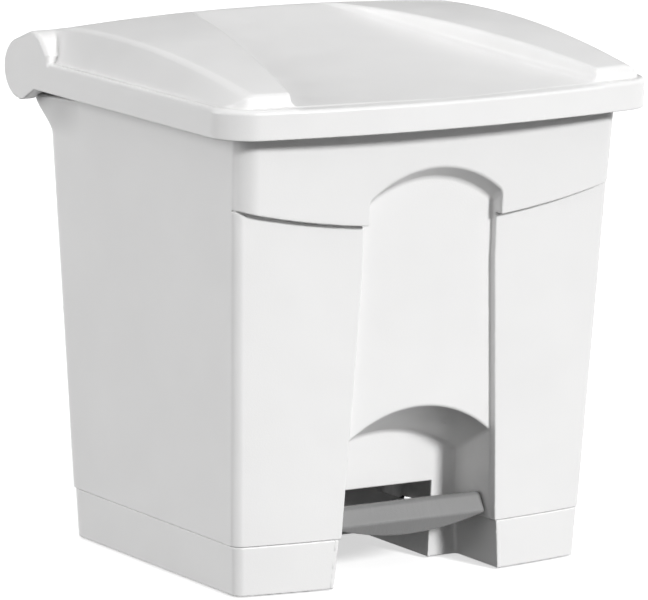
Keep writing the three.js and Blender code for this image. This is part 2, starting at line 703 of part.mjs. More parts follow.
function crankScrew([x, y]) {
  const headTop = CRANK_PLATE_Z - 2 * GAP - 4;
  return join(barZ(x, y, headTop - 2.6, headTop, 4.2), barZ(x, y, headTop - 1, 432, 1.7, 16));
}

function lidBuffer(side) {
  const block = box([side * 108 - 9, side * 108 + 9], [-157, -141], [RIM_Z + GAP, 420]);
  return block.intersect(lidAir(WALL + GAP));
}

// ---------------------------------------------------------------- pedal

const treadZ = (y) => TREAD_FRONT_Z - TREAD_SLOPE * (y - TREAD_FRONT_Y);
const TREAD_NORMAL = point(0, TREAD_SLOPE, 1).normalize();
const TREAD_SCREWS = [-26, 26].map((x) => point(x, -100, treadZ(-100)));

/** A point at depth below the tread's top, square to it. */
const under = (place, depth) => place.clone().addScaledVector(TREAD_NORMAL, -depth);

function pedalTread() {
  const sections = steps(-TREAD_HALF, TREAD_HALF, 18).map((x) => {
    const drop = LIP_DEPTH * parabola(x / TREAD_HALF);
    const outline = [
      [TREAD_REAR_Y, treadZ(TREAD_REAR_Y)],
      [TREAD_FRONT_Y, TREAD_FRONT_Z],
      [-119.8, 63.2],
      [-121.4, 61],
      [-127, 49.5],
      [-126.6 + drop * 0.1, 48.6 - drop * 0.5],
      [-125 + drop * 0.35, 47.6 - drop],
      [-122 + drop * 0.3, 49 - drop * 0.8],
      [-123.6, 50.5],
      [-118, treadZ(-118) - TREAD_THICKNESS],
      [TREAD_REAR_Y, treadZ(TREAD_REAR_Y) - TREAD_THICKNESS],
    ];
    return outline.map(([y, z]) => point(x, y, z));
  });
  const bosses = TREAD_SCREWS.map((place) => bar(under(place, 1), under(place, 7.4), 4));
  const holes = TREAD_SCREWS.map((place) => bar(under(place, 2), under(place, 9), 1.9, 16));
  return cut(join(loft(sections), ...bosses), ...holes);
}

function pedalLever() {
  const below = TREAD_THICKNESS + 1.5 * GAP;
  const plateBottom = below + 3.2;
  const plate = prismX(
    [
      [TREAD_FRONT_Y + 5, treadZ(TREAD_FRONT_Y + 5) - below],
      [TREAD_REAR_Y, treadZ(TREAD_REAR_Y) - below],
      [TREAD_REAR_Y, treadZ(TREAD_REAR_Y) - plateBottom],
      [TREAD_FRONT_Y + 5, treadZ(TREAD_FRONT_Y + 5) - plateBottom],
    ],
    -44,
    44,
  );
  const web = [
    [TREAD_REAR_Y - 14, treadZ(TREAD_REAR_Y - 14) - plateBottom + 1],
    [TREAD_REAR_Y, treadZ(TREAD_REAR_Y) - plateBottom + 1],
    [PIVOT_Y - 5, PIVOT_Z + 8],
    [PIVOT_Y - 5, PIVOT_Z - 7],
    [TREAD_REAR_Y, treadZ(TREAD_REAR_Y) - plateBottom - 14],
    [TREAD_REAR_Y - 14, treadZ(TREAD_REAR_Y - 14) - plateBottom - 5],
  ];
  const webs = [-1, 1].map((side) => prismX(web, side * 38, side * 42));
  const deck = prismX(
    [
      [TREAD_REAR_Y - 4, treadZ(TREAD_REAR_Y - 4) - below],
      [PIVOT_Y - 6, PIVOT_Z + 9],
      [PIVOT_Y - 6, PIVOT_Z + 6],
      [TREAD_REAR_Y - 4, treadZ(TREAD_REAR_Y - 4) - plateBottom],
    ],
    -42,
    42,
  );
  const arm = [
    [PIVOT_Y + 4, PIVOT_Z + 8],
    [ROD_Y, LEVER_TIP_Z + LEVER_TIP_RADIUS],
    [ROD_Y, LEVER_TIP_Z - LEVER_TIP_RADIUS],
    [PIVOT_Y + 4, PIVOT_Z - 8],
  ];
  const arms = [-1, 1].map((side) => prismX(arm, side * 9, side * 13));
  const tip = barX(-13, 13, ROD_Y, LEVER_TIP_Z, LEVER_TIP_RADIUS);
  const hub = barX(-46, 46, PIVOT_Y, PIVOT_Z, 9);
  const bore = barX(-60, 60, PIVOT_Y, PIVOT_Z, AXLE_RADIUS + GAP);
  const holes = TREAD_SCREWS.map((place) => bar(under(place, 2), under(place, 12), 4 + GAP));
  return cut(join(plate, deck, hub, tip, ...webs, ...arms), bore, ...holes);
}

function treadScrew(place) {
  return join(
    bar(under(place, 7.4 + GAP), under(place, 9.8), 5.6),
    bar(under(place, 3.4), under(place, 8.5), 1.5, 16),
  );
}

// ---------------------------------------------------------------- lift rod

const liftRod = () => barZ(0, ROD_Y, SHOE_Z + 2.4, ROD_HEAD_Z - 2.4, ROD_RADIUS);

function rodShoe() {
  const socket = barZ(0, ROD_Y, SHOE_Z + 2, SHOE_Z + 9, ROD_RADIUS + GAP);
  return barZ(0, ROD_Y, SHOE_Z, SHOE_Z + 6.5, 7).subtract(socket);
}

function rodHead() {
  const head = box([-12, 12], [ROD_Y - 6, CRANK_Y + 6], [ROD_HEAD_Z - 9, ROD_HEAD_Z]);
  return head.subtract(barZ(0, ROD_Y, ROD_HEAD_Z - 12, ROD_HEAD_Z - 2, ROD_RADIUS + GAP));
}

// ---------------------------------------------------------------- assembly

const bin = new THREE.Group();

/** Adds one named piece to the bin. */
function add(name, piece, look) {
  const { vertProperties, triVerts, numProp } = piece.getMesh();
  const geometry = new THREE.BufferGeometry();
  const positions = new Float32Array((vertProperties.length / numProp) * 3);
  for (let i = 0; i < positions.length / 3; i++) {
    positions.set(vertProperties.subarray(i * numProp, i * numProp + 3), i * 3);
  }
  geometry.setAttribute('position', new THREE.BufferAttribute(positions, 3));
  geometry.setIndex(new THREE.BufferAttribute(triVerts, 1));
  geometry.computeVertexNormals();
  const mesh = new THREE.Mesh(geometry, new THREE.MeshStandardMaterial(look));
  mesh.name = name;
  bin.add(mesh);
}

const SIDES = [['left', -1], ['right', 1]];

add('body_shell', bodyShell(), PLASTIC);
add('base_plinth', basePlinth(), PLASTIC);
SCREW_PLACES.forEach((place, i) => add(`plinth_screw_${i + 1}`, plinthScrew(place), STEEL));
FOOT_PLACES.forEach((place, i) => add(`rubber_foot_${i + 1}`, rubberFoot(place), RUBBER));
add('inner_liner', innerLiner(), LINER_PLASTIC);
add('rod_guide_lower', rodGuide(104, 120), HARD_PLASTIC);
add('rod_guide_upper', rodGuide(306, 322), HARD_PLASTIC);
add('pedal_axle', pedalAxle(), STEEL);
for (const [word, side] of SIDES) {
  add(`axle_bush_${word}`, axleBush(side), HARD_PLASTIC);
  add(`axle_clip_${word}`, axleClip(side), STEEL);
  add(`hinge_bush_${word}`, hingeBush(side), HARD_PLASTIC);
  add(`hinge_pin_${word}`, hingePin(side), STEEL);
  add(`lid_buffer_${word}`, lidBuffer(side), RUBBER);
}
add('lid', lid(), PLASTIC);
add('lid_crank', lidCrank(), HARD_PLASTIC);
BOSS_PLACES.forEach((place, i) => add(`crank_screw_${i + 1}`, crankScrew(place), STEEL));
add('pedal_tread', pedalTread(), PEDAL_PLASTIC);
add('pedal_lever', pedalLever(), HARD_PLASTIC);
TREAD_SCREWS.forEach((place, i) => add(`tread_screw_${i + 1}`, treadScrew(place), STEEL));
add('lift_rod', liftRod(), STEEL);
add('rod_shoe', rodShoe(), HARD_PLASTIC);
add('rod_head', rodHead(), HARD_PLASTIC);

// Everything above is measured from the middle of the body. This centres the whole bin.
bin.position.y = -(LID_FRONT_Y + HINGE_Y + ROLL_RADIUS) / 2;

export default bin;
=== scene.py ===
"""The looks of a white kitchen pedal bin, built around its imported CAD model.

Each moulded piece is described once, as a field: a function that is negative inside the piece and
positive outside, in millimetres, measured from the middle of the body. Its surface is then turned
into a mesh with true rounded edges and exact normals, in metres, in the model's own frame.
"""

import json
import math
from concurrent.futures import ThreadPoolExecutor

import bpy
import numpy as np
from mathutils import Matrix, Vector


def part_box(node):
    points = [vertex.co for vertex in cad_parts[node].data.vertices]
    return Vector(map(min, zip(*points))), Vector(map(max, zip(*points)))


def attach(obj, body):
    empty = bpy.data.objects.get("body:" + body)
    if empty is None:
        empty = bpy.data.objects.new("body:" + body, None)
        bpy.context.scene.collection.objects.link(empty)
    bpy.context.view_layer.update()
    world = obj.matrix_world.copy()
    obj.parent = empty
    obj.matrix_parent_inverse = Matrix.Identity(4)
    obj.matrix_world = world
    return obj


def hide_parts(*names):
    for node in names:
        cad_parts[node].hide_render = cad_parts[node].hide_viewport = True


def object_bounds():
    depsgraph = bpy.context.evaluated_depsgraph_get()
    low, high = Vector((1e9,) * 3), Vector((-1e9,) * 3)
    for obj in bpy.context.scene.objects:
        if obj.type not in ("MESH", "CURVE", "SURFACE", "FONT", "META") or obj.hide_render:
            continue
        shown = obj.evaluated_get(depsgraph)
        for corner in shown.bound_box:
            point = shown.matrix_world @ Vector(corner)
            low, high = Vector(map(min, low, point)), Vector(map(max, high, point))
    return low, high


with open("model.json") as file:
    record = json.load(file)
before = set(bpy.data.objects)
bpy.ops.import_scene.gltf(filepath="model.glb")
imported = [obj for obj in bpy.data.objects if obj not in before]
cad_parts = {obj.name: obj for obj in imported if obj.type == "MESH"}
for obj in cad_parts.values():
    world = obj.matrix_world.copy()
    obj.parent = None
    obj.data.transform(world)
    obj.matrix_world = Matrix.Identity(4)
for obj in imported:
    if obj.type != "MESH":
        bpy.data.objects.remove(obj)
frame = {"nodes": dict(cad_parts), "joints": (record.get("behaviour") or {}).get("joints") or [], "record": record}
CAD_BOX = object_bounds()

# ------------------------------------------------------------------ driving dimensions

# In millimetres from the body's middle and the floor. Names that end in _X, _Y and _Z are places,
# a HALF is half a width, and a DRAFT, TAPER, SLOPE or LEAN is a change per millimetre.

JOINTS = {joint["name"]: joint for joint in frame["joints"]}
MM = 1000.0  # millimetres in a metre
HINGE_Y, HINGE_Z = 170.0, JOINTS["lid_hinge"]["pos_m"][2] * MM
MID_Y = JOINTS["lid_hinge"]["pos_m"][1] * MM - HINGE_Y  # the body's middle, in the frame

WALL = 3.0
GAP = 0.4  # between pieces that rest on each other or turn in each other

# Radii of edge rounds and fillets that many pieces share.
HOLE_EDGE = 0.3
RIB_EDGE = 0.8
WALL_END = 1.0
WALL_BEND = 1.5

# These make up for the steepness of a slanted field, so that its values stay close to distances.
RECESS_ARCH_SCALE, NICHE_ARCH_SCALE = 0.85, 0.9
CROWN_SCALE, PANEL_SCALE, PANEL_WALL_SCALE = 0.99, 0.99, 0.955

# The body's walls lean outwards, and its front is bowed.
FLOOR_HALF_WIDTH, SIDE_DRAFT = 164.7, 0.0424
FLOOR_FRONT_Y, FRONT_DRAFT = -116.9, 0.0575
FLOOR_REAR_Y, REAR_DRAFT = 149.6, 0.0576
FLOOR_BOW, BOW_TAPER = 23.3, 0.0225
FRONT_CORNER, REAR_CORNER = 7.0, 20.0
SIDE_END_Y = 105.0
SEAM_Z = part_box("base_plinth")[1].z * MM
DECK_Z = 70.0
SHOULDER_Z, RIM_INSET = 376.0, 9.0
RIM_Z = 394.0
FLARE, FLARE_START_Z, FLARE_END_Z, FLARE_RIM = 9.0, 340.0, 373.0, 1.5

# The front band, and the dark line below it.
BAND_PROUD, BAND_CORNER, BAND_STEP_IN = 8.0, 16.0, 0.6
BAND_END_Z, BAND_SAG = 319.7, 21.7
LINE_DROP, LINE_HALF, LINE_DEPTH, LINE_END_Y = 0.4, 0.7, 1.2, -134

# The arched front recess.
RECESS_DEPTH, RECESS_TOP_HALF = 7.5, 63.0
RECESS_TAPER, RECESS_TAPER_Z = 0.048, 262.0
RECESS_ARCH_Z, RECESS_ARCH_RADIUS, RECESS_ARCH_Y = 344.5, 100.0, -160.0
RECESS_SOFFIT_SLOPE = 0.62

# The foot niche in body and plinth, and the tunnel behind it.
NICHE_FRONT_Y, NICHE_REAR_Y, NICHE_REAR_LEAN = -139.0, -72.0, 0.07
NICHE_MOUTH = {"half": 69.0, "spring_z": 121.0, "apex_z": 146.0}
NICHE_END = {"half": 72.0, "spring_z": 93.0, "apex_z": 115.0}
NICHE_FLOOR_HALF, PLINTH_NICHE_HALF = 75.1, 80.5
NICHE_LEAN_START_Z = -20  # its sides lean from here up to the arch
NICHE_RUN_OUT = 1.05  # it goes on tapering this little past its rear
TUNNEL_HALF, TUNNEL_Z = 51.0, 67.0
TUNNEL_Y = (-90, -60)

# The hinge: a barrel on the body inside a roll on the lid.
ROLL_RADIUS = 25.5
BARREL_RADIUS = ROLL_RADIUS - WALL - 1
BARREL_START_ANGLE = -math.pi / 2 - 0.12
BARREL_END_ANGLE = math.radians(38)
EAR_INNER_X, EAR_OUTER_X = 180.0, 190.0
EAR_HOLE_RADIUS = 5.4

# The plinth's ring, corner plates, foot posts and axle hole.
PLINTH_INSET, PLINTH_BOTTOM_Z = 1.2, 1.5
PLATE_Z, PLATE_THICKNESS = 30.0, 4.0
PLATE_INNER_X, FRONT_PLATE_Y, REAR_PLATE_Y = 108, (-100, -38), 98
SCREW_PLACES = [(-124, -52), (124, -52), (-126, 112), (126, 112)]
SCREW_RADIUS = 2.1
SCREW_BOSS_RADIUS, SCREW_HOLE_END_Z = 6.5, 63
FOOT_PLACES = [(-140, -88), (140, -88), (-142, 128), (142, 128)]
FOOT_POST_RADIUS, FOOT_POST_Z = 9, 5.5
FOOT_HOLE_RADIUS, FOOT_HOLE_END_Z = 3.4, 15
PIVOT_Y = JOINTS["pedal_pivot"]["pos_m"][1] * MM - MID_Y
PIVOT_Z = JOINTS["pedal_pivot"]["pos_m"][2] * MM
AXLE_HOLE_RADIUS, AXLE_HOLE_HALF = 6.6, 70
ROD_Y = 134.0
ROD_HOLE_RADIUS = 4.5

# The lid's outline and skirt.
LID_HALF_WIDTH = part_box("lid")[1].x * MM
LID_FRONT_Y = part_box("lid")[0].y * MM - MID_Y
LID_BOW, LID_CORNER, LID_CORNER_BOW = 22.3, 27.5, 6.0
SKIRT_BOTTOM_Z, SKIRT_TOP_Z = 380.7, 405.0

# The lid's crown: two side shoulders whose crests run from rear to front.
CREST_Y, CREST_Z, CREST_FALL = 48.0, 436.5, 0.00045
CREST_REAR_X, CREST_NARROWING, FOOT_X = 183.0, 2.0, 196.5
LEDGE = LID_HALF_WIDTH - FOOT_X
LEDGE_END_Y, LEDGE_FADE, REAR_LEDGE = -90, 40, 0.5  # the ledge fades out behind its end
SHOULDER_FRONT_Y, ROLL_START_Y = -168.0, 134.0
FRONT_FACE_X, FRONT_FACE_TAPER = 160, 0.08
FRONT_FACE_Z, FRONT_FACE_LEAN = 410, 0.2
CROWN_FRONT_Y, CROWN_RISE, CROWN_BOTTOM_Z = -60.0, 6.5, 398
FOOT_GROOVE_RADIUS, FOOT_GROOVE_OUT, FOOT_GROOVE_Y = 0.9, 0.6, (-140, 108)

# The lid's sunken centre panel.
PANEL_FRONT_Z, PANEL_SLOPE, PANEL_DISH = 403.2, 0.085, 0.00009
PANEL_MID_HALF, PANEL_TAPER, PANEL_WALL_LEAN = 98.5, 0.267, 0.15

# The lid's rear: a slope down to the roll, and a solid lobe at each end of the roll.
REAR_SLOPE_ANGLE, REAR_SLOPE_GAIN = 62, 7.7  # in degrees, in the middle and more at the sides
LID_END_X, LOBE_START_Y, LOBE_SIDE_X = 191.5, 128.0, 170
LOBE_TOP_Y, LOBE_TOP_FACING, LOBE_FILLET = 113, (-23, 22), 14.0
LOBE_UNDER_FACING, LOBE_UNDER_Y = (-0.479, -0.878), 120
LIP_Z = HINGE_Z + ROLL_RADIUS * math.sin(math.radians(25))
LIP_START_Y = 100
PIN_HOLE_RADIUS, PIN_HOLE_END_X = 3.4, 199.8
CRANK_BOSS_X, CRANK_BOSS_RADIUS = 22, 5
CRANK_BOSS_Z, CRANK_HOLE_END_Z = (424, 437), 433.5

# The pedal's tread: each face is given by a point on it and the way it faces, in Y and Z.
TREAD_HALF, TREAD_SLOPE, TREAD_THICKNESS, TREAD_THINNING = 71.0, 0.24, 3.5, 0.3
TREAD_FRONT_Y, TREAD_FRONT_Z, TREAD_REAR_Y = -117.0, 64.0, -86.0
TREAD_FACE, TREAD_FACE_FACING = (-121.4, 61.0), (-11.5, 5.6)
TREAD_CURL, TREAD_CURL_FACING = (-127.0, 49.0), (-13.0, -5.8)
LIP_BOTTOM_Z, LIP_DEPTH = 47.8, 12.0
TREAD_BOSS_X, TREAD_BOSS_Y = 26, -100
TREAD_BOSS_RADIUS, TREAD_HOLE_RADIUS = 4, 1.9
TREAD_BOSS_DEPTH, TREAD_HOLE_DEPTH = (1, 7.4), 2

# The liner: half width, front and rear at its bottom, and what each gains on the way up.
LINER_BOTTOM_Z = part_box("inner_liner")[0].z * MM
LINER_TOP_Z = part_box("inner_liner")[1].z * MM
LINER_WALL, LINER_CORNER, LINER_FLANGE = 2.4, 22.0, 6.0
LINER_HALF, LINER_HALF_GAIN = 147, 19
LINER_FRONT_Y, LINER_FRONT_GAIN = -68, 46
LINER_REAR_Y, LINER_REAR_GAIN = 116, 3

# How the surfaces are meshed.
THREADS, GRID_SLICES = 4, 12
TURN_ROUNDS = 6  # of working out where the bowed front meets its corner rounds
SETTLE_ROUNDS = 2  # of moving a mesh's points onto the surface
EVEN_ROUNDS, EVEN_SHARE = 2, 0.6  # of moving them apart, and how far each goes
LONGEST_STEP = 1.0  # that a point moves at once
PROBE = 0.02  # the step with which a field's slope is measured
EDGE_PROBE = 1.5  # the step with which the sharpness of an edge is measured
SHARP_TURN = 0.6  # the cosine between a face and its exact normal below which an edge is sharp

# ------------------------------------------------------------------ fields


def both(a, b, radius=0.0):
    """Inside a and inside b, with their edge rounded."""
    corner = np.hypot(np.maximum(a + radius, 0), np.maximum(b + radius, 0))
    return np.minimum(np.maximum(a, b), -radius) + corner


def either(a, b, radius=0.0):
    """Inside a or inside b, with the corner between them filled by a fillet."""
    return -both(-a, -b, radius)


def without(a, b, radius=0.0):
    """Inside a and outside b, with their edge rounded."""
    return both(a, -b, radius)


def all_of(*fields):
    """Inside every one of the fields, with sharp edges."""
    total = fields[0]
    for field in fields[1:]:
        total = np.maximum(total, field)
    return total


def between(value, low, high):
    """Negative while the value lies between low and high."""
    return np.maximum(low - value, value - high)


def pillar(x, y, place, radius):
    """An upright round bar of endless height."""
    return np.hypot(x - place[0], y - place[1]) - radius


def crossbar(y, z, centre_y, centre_z, radius):
    """A round bar of endless length along X."""
    return np.hypot(y - centre_y, z - centre_z) - radius


def facing(y, z, through, direction):
    """A flat face across the piece: a point that it passes through and the way it faces."""
    ahead = (y - through[0]) * direction[0] + (z - through[1]) * direction[1]
    return ahead / math.hypot(*direction)


def mix(a, b, t):
    """A value that runs from a to b while t runs from 0 to 1."""
    return a + (b - a) * t


def smooth(t):
    """A soft step from 0 to 1 while t runs from 0 to 1."""
    t = np.clip(t, 0, 1)
    return t * t * (3 - 2 * t)


# ------------------------------------------------------------------ body fields


def half_width(z):
    """Half the body's width at a height."""
    return FLOOR_HALF_WIDTH + SIDE_DRAFT * z


def bowed_front(x, y, half, corner_y, bow, radius):
    """The bowed front: a parabola that meets a corner round of that radius at each side."""
    turn = np.zeros_like(half)
    for _ in range(TURN_ROUNDS):
        turn = np.arctan2(2 * (bow - radius * np.cos(turn)), half - radius + radius * np.sin(turn))
    end_x = half - radius + radius * np.sin(turn)
    curve = np.tan(turn) / (2 * end_x)
    return (corner_y - bow + curve * x * x - y) / np.hypot(1, 2 * curve * x)


def outline(x, y, z, inset=0.0, proud=0.0, corner=FRONT_CORNER, flare=0.0):
    """The body's upright walls, without a top or bottom."""
    half = half_width(z) - inset
    swell = flare * smooth((y - SIDE_END_Y) / (FLOOR_REAR_Y - SIDE_END_Y))
    side = np.abs(x) - half - swell
    corner_y = FLOOR_FRONT_Y - FRONT_DRAFT * z
    front = bowed_front(x, y, half, corner_y, FLOOR_BOW - BOW_TAPER * z + proud - inset, corner)
    rear = y - (FLOOR_REAR_Y + REAR_DRAFT * z - inset + flare)
    return both(both(side, front, corner), rear, REAR_CORNER)


def front_face(x, y, z):
    """How far a point stands ahead of the body's plain front."""
    half = half_width(z)
    corner_y = FLOOR_FRONT_Y - FRONT_DRAFT * z
    return bowed_front(x, y, half, corner_y, FLOOR_BOW - BOW_TAPER * z, FRONT_CORNER)


def recess(x, y, z):
    """The air in the arched front recess."""
    half = RECESS_TOP_HALF + RECESS_TAPER * np.maximum(0, RECESS_TAPER_Z - z)
    sides = np.abs(x) - half
    panel = -front_face(x, y, z) - RECESS_DEPTH
    top = RECESS_ARCH_Z - RECESS_SOFFIT_SLOPE * (y - RECESS_ARCH_Y)
    arch = np.hypot(x, np.maximum(z - top + RECESS_ARCH_RADIUS, 0)) - RECESS_ARCH_RADIUS
    return both(both(sides, arch * RECESS_ARCH_SCALE, 2.0), panel, 2.5)


def niche(x, y, z, floor_half=NICHE_FLOOR_HALF, start_y=NICHE_FRONT_Y):
    """The air in the foot niche: an arched mouth whose ceiling slopes down to the rear."""
    rear_y = NICHE_REAR_Y - NICHE_REAR_LEAN * np.maximum(z, 0)
    t = np.clip((y - start_y) / (rear_y - start_y), 0, NICHE_RUN_OUT)
    half = mix(NICHE_MOUTH["half"], NICHE_END["half"], t)
    spring = mix(NICHE_MOUTH["spring_z"], NICHE_END["spring_z"], t)
    apex = mix(NICHE_MOUTH["apex_z"], NICHE_END["apex_z"], t)
    rise = apex - spring
    radius = (half ** 2 + rise ** 2) / (2 * rise)
    arch = (np.hypot(x, np.maximum(z - apex + radius, 0)) - radius) * NICHE_ARCH_SCALE
    up = np.clip((z - NICHE_LEAN_START_Z) / (spring - NICHE_LEAN_START_Z), 0, 1)
    side = np.abs(x) - mix(floor_half, half, up)
    return both(both(side, arch, 2.0), y - rear_y, 3.0)


def hinge_barrel(x, y, z):
    """The barrel along the top of the rear wall, with an ear at each end."""
    behind, up = y - HINGE_Y, z - HINGE_Z
    away = np.hypot(behind, up)
    cut_start = behind * math.sin(BARREL_START_ANGLE) - up * math.cos(BARREL_START_ANGLE)
    cut_end = -behind * math.sin(BARREL_END_ANGLE) + up * math.cos(BARREL_END_ANGLE)
    tube = np.abs(away - (BARREL_RADIUS - WALL / 2)) - WALL / 2
    shell = both(both(tube, np.maximum(cut_start, cut_end), 1.0), np.abs(x) - EAR_OUTER_X, 1.0)
    ear = both(away - BARREL_RADIUS, between(np.abs(x), EAR_INNER_X, EAR_OUTER_X), RIB_EDGE)
    return either(shell, ear, RIB_EDGE)


def band_edge(x):
    """The height of the front band's lower edge, which hangs lowest in the middle."""
    return BAND_END_Z - BAND_SAG * (1 - (x / half_width(BAND_END_Z)) ** 2)


def body_walls(x, y, z):
    """The upright walls with the front band, and the plain ones without it."""
    plain = outline(x, y, z)
    band = outline(x, y, z, BAND_STEP_IN, BAND_PROUD + BAND_STEP_IN, BAND_CORNER)
    band = both(band, band_edge(x) - z, WALL_BEND)
    return either(plain, band, 0.6), plain


def body_outside(x, y, z, walls, plain):
    """The body as a full block, from the seam up to the rim and the hinge barrel."""
    flare = FLARE * smooth((z - FLARE_START_Z) / (FLARE_END_Z - FLARE_START_Z))
    flared = both(outline(x, y, z, flare=flare), z - FLARE_END_Z - FLARE_RIM, 2.0)
    outside = both(walls, z - SHOULDER_Z - RIM_INSET, RIM_INSET)
    rim = both(walls + RIM_INSET, z - RIM_Z, 1.2)
    outside = either(np.minimum(outside, flared), rim, WALL_BEND)
    outside = either(outside, hinge_barrel(x, y, z), RIB_EDGE)
    outside = both(outside, SEAM_Z + GAP - z, RIB_EDGE)
    line = np.maximum(np.abs(z - band_edge(x) + LINE_DROP) - LINE_HALF, -plain - LINE_DEPTH)
    return without(outside, np.maximum(line, y - LINE_END_Y), HOLE_EDGE)


def body_hollow(z, walls, blocked):
    """The air above the inner floor, kept out of the walls round the recess and the niche."""
    hollow = both(walls + WALL, z - SHOULDER_Z - RIM_INSET + WALL, RIM_INSET - WALL)
    hollow = np.minimum(hollow, both(walls + RIM_INSET + WALL, SHOULDER_Z - z))
    return without(both(hollow, DECK_Z - z, 3.0), blocked, WALL_BEND)


def body_shell(x, y, z):
    """The thin-walled body with its inner floor, open above it and below it."""
    walls, plain = body_walls(x, y, z)
    recess_air, niche_air = recess(x, y, z), niche(x, y, z)
    blocked = np.minimum(recess_air, niche_air) - WALL
    under_deck = without(both(plain + WALL, z - TUNNEL_Z, WALL_BEND), blocked, WALL_BEND)
    shell = without(body_outside(x, y, z, walls, plain), body_hollow(z, walls, blocked), WALL_END)
    shell = without(shell, under_deck, WALL_END)
    for place in SCREW_PLACES:
        boss = pillar(x, y, place, SCREW_BOSS_RADIUS)
        boss = np.maximum(boss, between(z, SEAM_Z + GAP, DECK_Z - 1))
        hole = np.maximum(pillar(x, y, place, SCREW_RADIUS + GAP), z - SCREW_HOLE_END_Z)
        shell = without(either(shell, boss, WALL_END), hole, HOLE_EDGE)
    shell = without(shell, recess_air, WALL_BEND)
    shell = without(shell, niche_air, WALL_BEND)
    tunnel = all_of(np.abs(x) - TUNNEL_HALF, between(y, *TUNNEL_Y), z - TUNNEL_Z)
    shell = without(shell, tunnel, WALL_END)
    rod_hole = all_of(pillar(x, y, (0, ROD_Y), ROD_HOLE_RADIUS), between(z, DECK_Z - 10, DECK_Z + 5))
    shell = without(shell, rod_hole, 0.5)
    ear_hole = crossbar(y, z, HINGE_Y, HINGE_Z, EAR_HOLE_RADIUS)
    ear_hole = np.maximum(ear_hole, between(np.abs(x), EAR_INNER_X - 30, EAR_OUTER_X + 5))
    return without(shell, ear_hole, 0.4)


def plinth_ribs(x, y, z, walls, block, niche_air):
    """What stands inside the plinth's ring: niche and tunnel walls, corner plates, foot posts."""
    within = np.maximum(walls + 1, between(z, PLINTH_BOTTOM_Z, SEAM_Z))
    tunnel_wall = between(np.abs(x), TUNNEL_HALF, TUNNEL_HALF + WALL)
    ribs = [np.maximum(niche_air - WALL, block), all_of(tunnel_wall, NICHE_REAR_Y - y, within)]
    for place_x, place_y in SCREW_PLACES:
        across = PLATE_INNER_X - x * np.sign(place_x)
        along = between(y, *FRONT_PLATE_Y) if place_y < 0 else REAR_PLATE_Y - y
        plate = between(z, PLATE_Z, PLATE_Z + PLATE_THICKNESS)
        ribs.append(both(all_of(across, along, within), plate, 0.5))
    for place in FOOT_PLACES:
        post = between(z, FOOT_POST_Z, PLATE_Z + 1)
        ribs.append(both(pillar(x, y, place, FOOT_POST_RADIUS), post, RIB_EDGE))
    return ribs


def base_plinth(x, y, z):
    """The ring below the seam, with the niche and the tunnel open through it."""
    walls = outline(x, y, z, PLINTH_INSET)
    block = both(walls, between(z, PLINTH_BOTTOM_Z, SEAM_Z), 0.9)
    niche_air = niche(x, y, z, PLINTH_NICHE_HALF, RECESS_ARCH_Y)
    plinth = without(block, walls + WALL)
    for rib in plinth_ribs(x, y, z, walls, block, niche_air):
        plinth = either(plinth, rib, RIB_EDGE)
    plinth = without(plinth, niche_air, WALL_BEND)
    for place in SCREW_PLACES:
        plinth = without(plinth, pillar(x, y, place, SCREW_RADIUS + GAP), HOLE_EDGE)
    for place in FOOT_PLACES:
        hole = np.maximum(pillar(x, y, place, FOOT_HOLE_RADIUS), z - FOOT_HOLE_END_Z)
        plinth = without(plinth, hole, HOLE_EDGE)
    axle = crossbar(y, z, PIVOT_Y, PIVOT_Z, AXLE_HOLE_RADIUS)
    plinth = without(plinth, np.maximum(axle, np.abs(x) - AXLE_HOLE_HALF), 0.4)
    return without(plinth, all_of(np.abs(x) - TUNNEL_HALF, between(y, *TUNNEL_Y)), RIB_EDGE)


# ------------------------------------------------------------------ lid fields


def rear_slope(x, y, z):
    """The slope from the top down to where it touches the rolled rear edge."""
    gain = REAR_SLOPE_GAIN * np.clip(np.abs(x) / CREST_REAR_X, 0, 1) ** 2
    angle = np.radians(REAR_SLOPE_ANGLE + gain)
    above = (y - HINGE_Y) * np.cos(angle) + (z - HINGE_Z) * np.sin(angle) - ROLL_RADIUS
    past = (y - HINGE_Y) * np.sin(angle) - (z - HINGE_Z) * np.cos(angle)
    return np.maximum(above, past)


def rolled_edge(x, y, z):
    """The roll along the lid's rear edge, and the round lobe at each end of it."""
    roll = np.hypot(y - HINGE_Y, z - HINGE_Z) - ROLL_RADIUS
    rising = facing(y, z, (LOBE_TOP_Y, SKIRT_TOP_Z), LOBE_TOP_FACING)
    back, down = LOBE_UNDER_FACING
    under = (y - HINGE_Y) * back + (z - HINGE_Z) * down - ROLL_RADIUS
    wedge = both(rear_slope(x, y, z), rising, LOBE_FILLET)
    wedge = all_of(wedge, under, LOBE_UNDER_Y - y)
    lobe = np.maximum(np.minimum(wedge, roll), LOBE_SIDE_X - np.abs(x))
    return np.minimum(lobe, np.maximum(roll, np.abs(x) - EAR_OUTER_X))


def lid_footprint(x, y, z):
    """The lid seen from above: straight sides and a bowed front."""
    corner_y = LID_FRONT_Y + LID_BOW + LID_CORNER - LID_CORNER_BOW
    half = np.full_like(z, LID_HALF_WIDTH)
    front = bowed_front(x, y, half, corner_y, corner_y - LID_FRONT_Y, LID_CORNER)
    return both(np.abs(x) - LID_HALF_WIDTH, front, LID_CORNER)


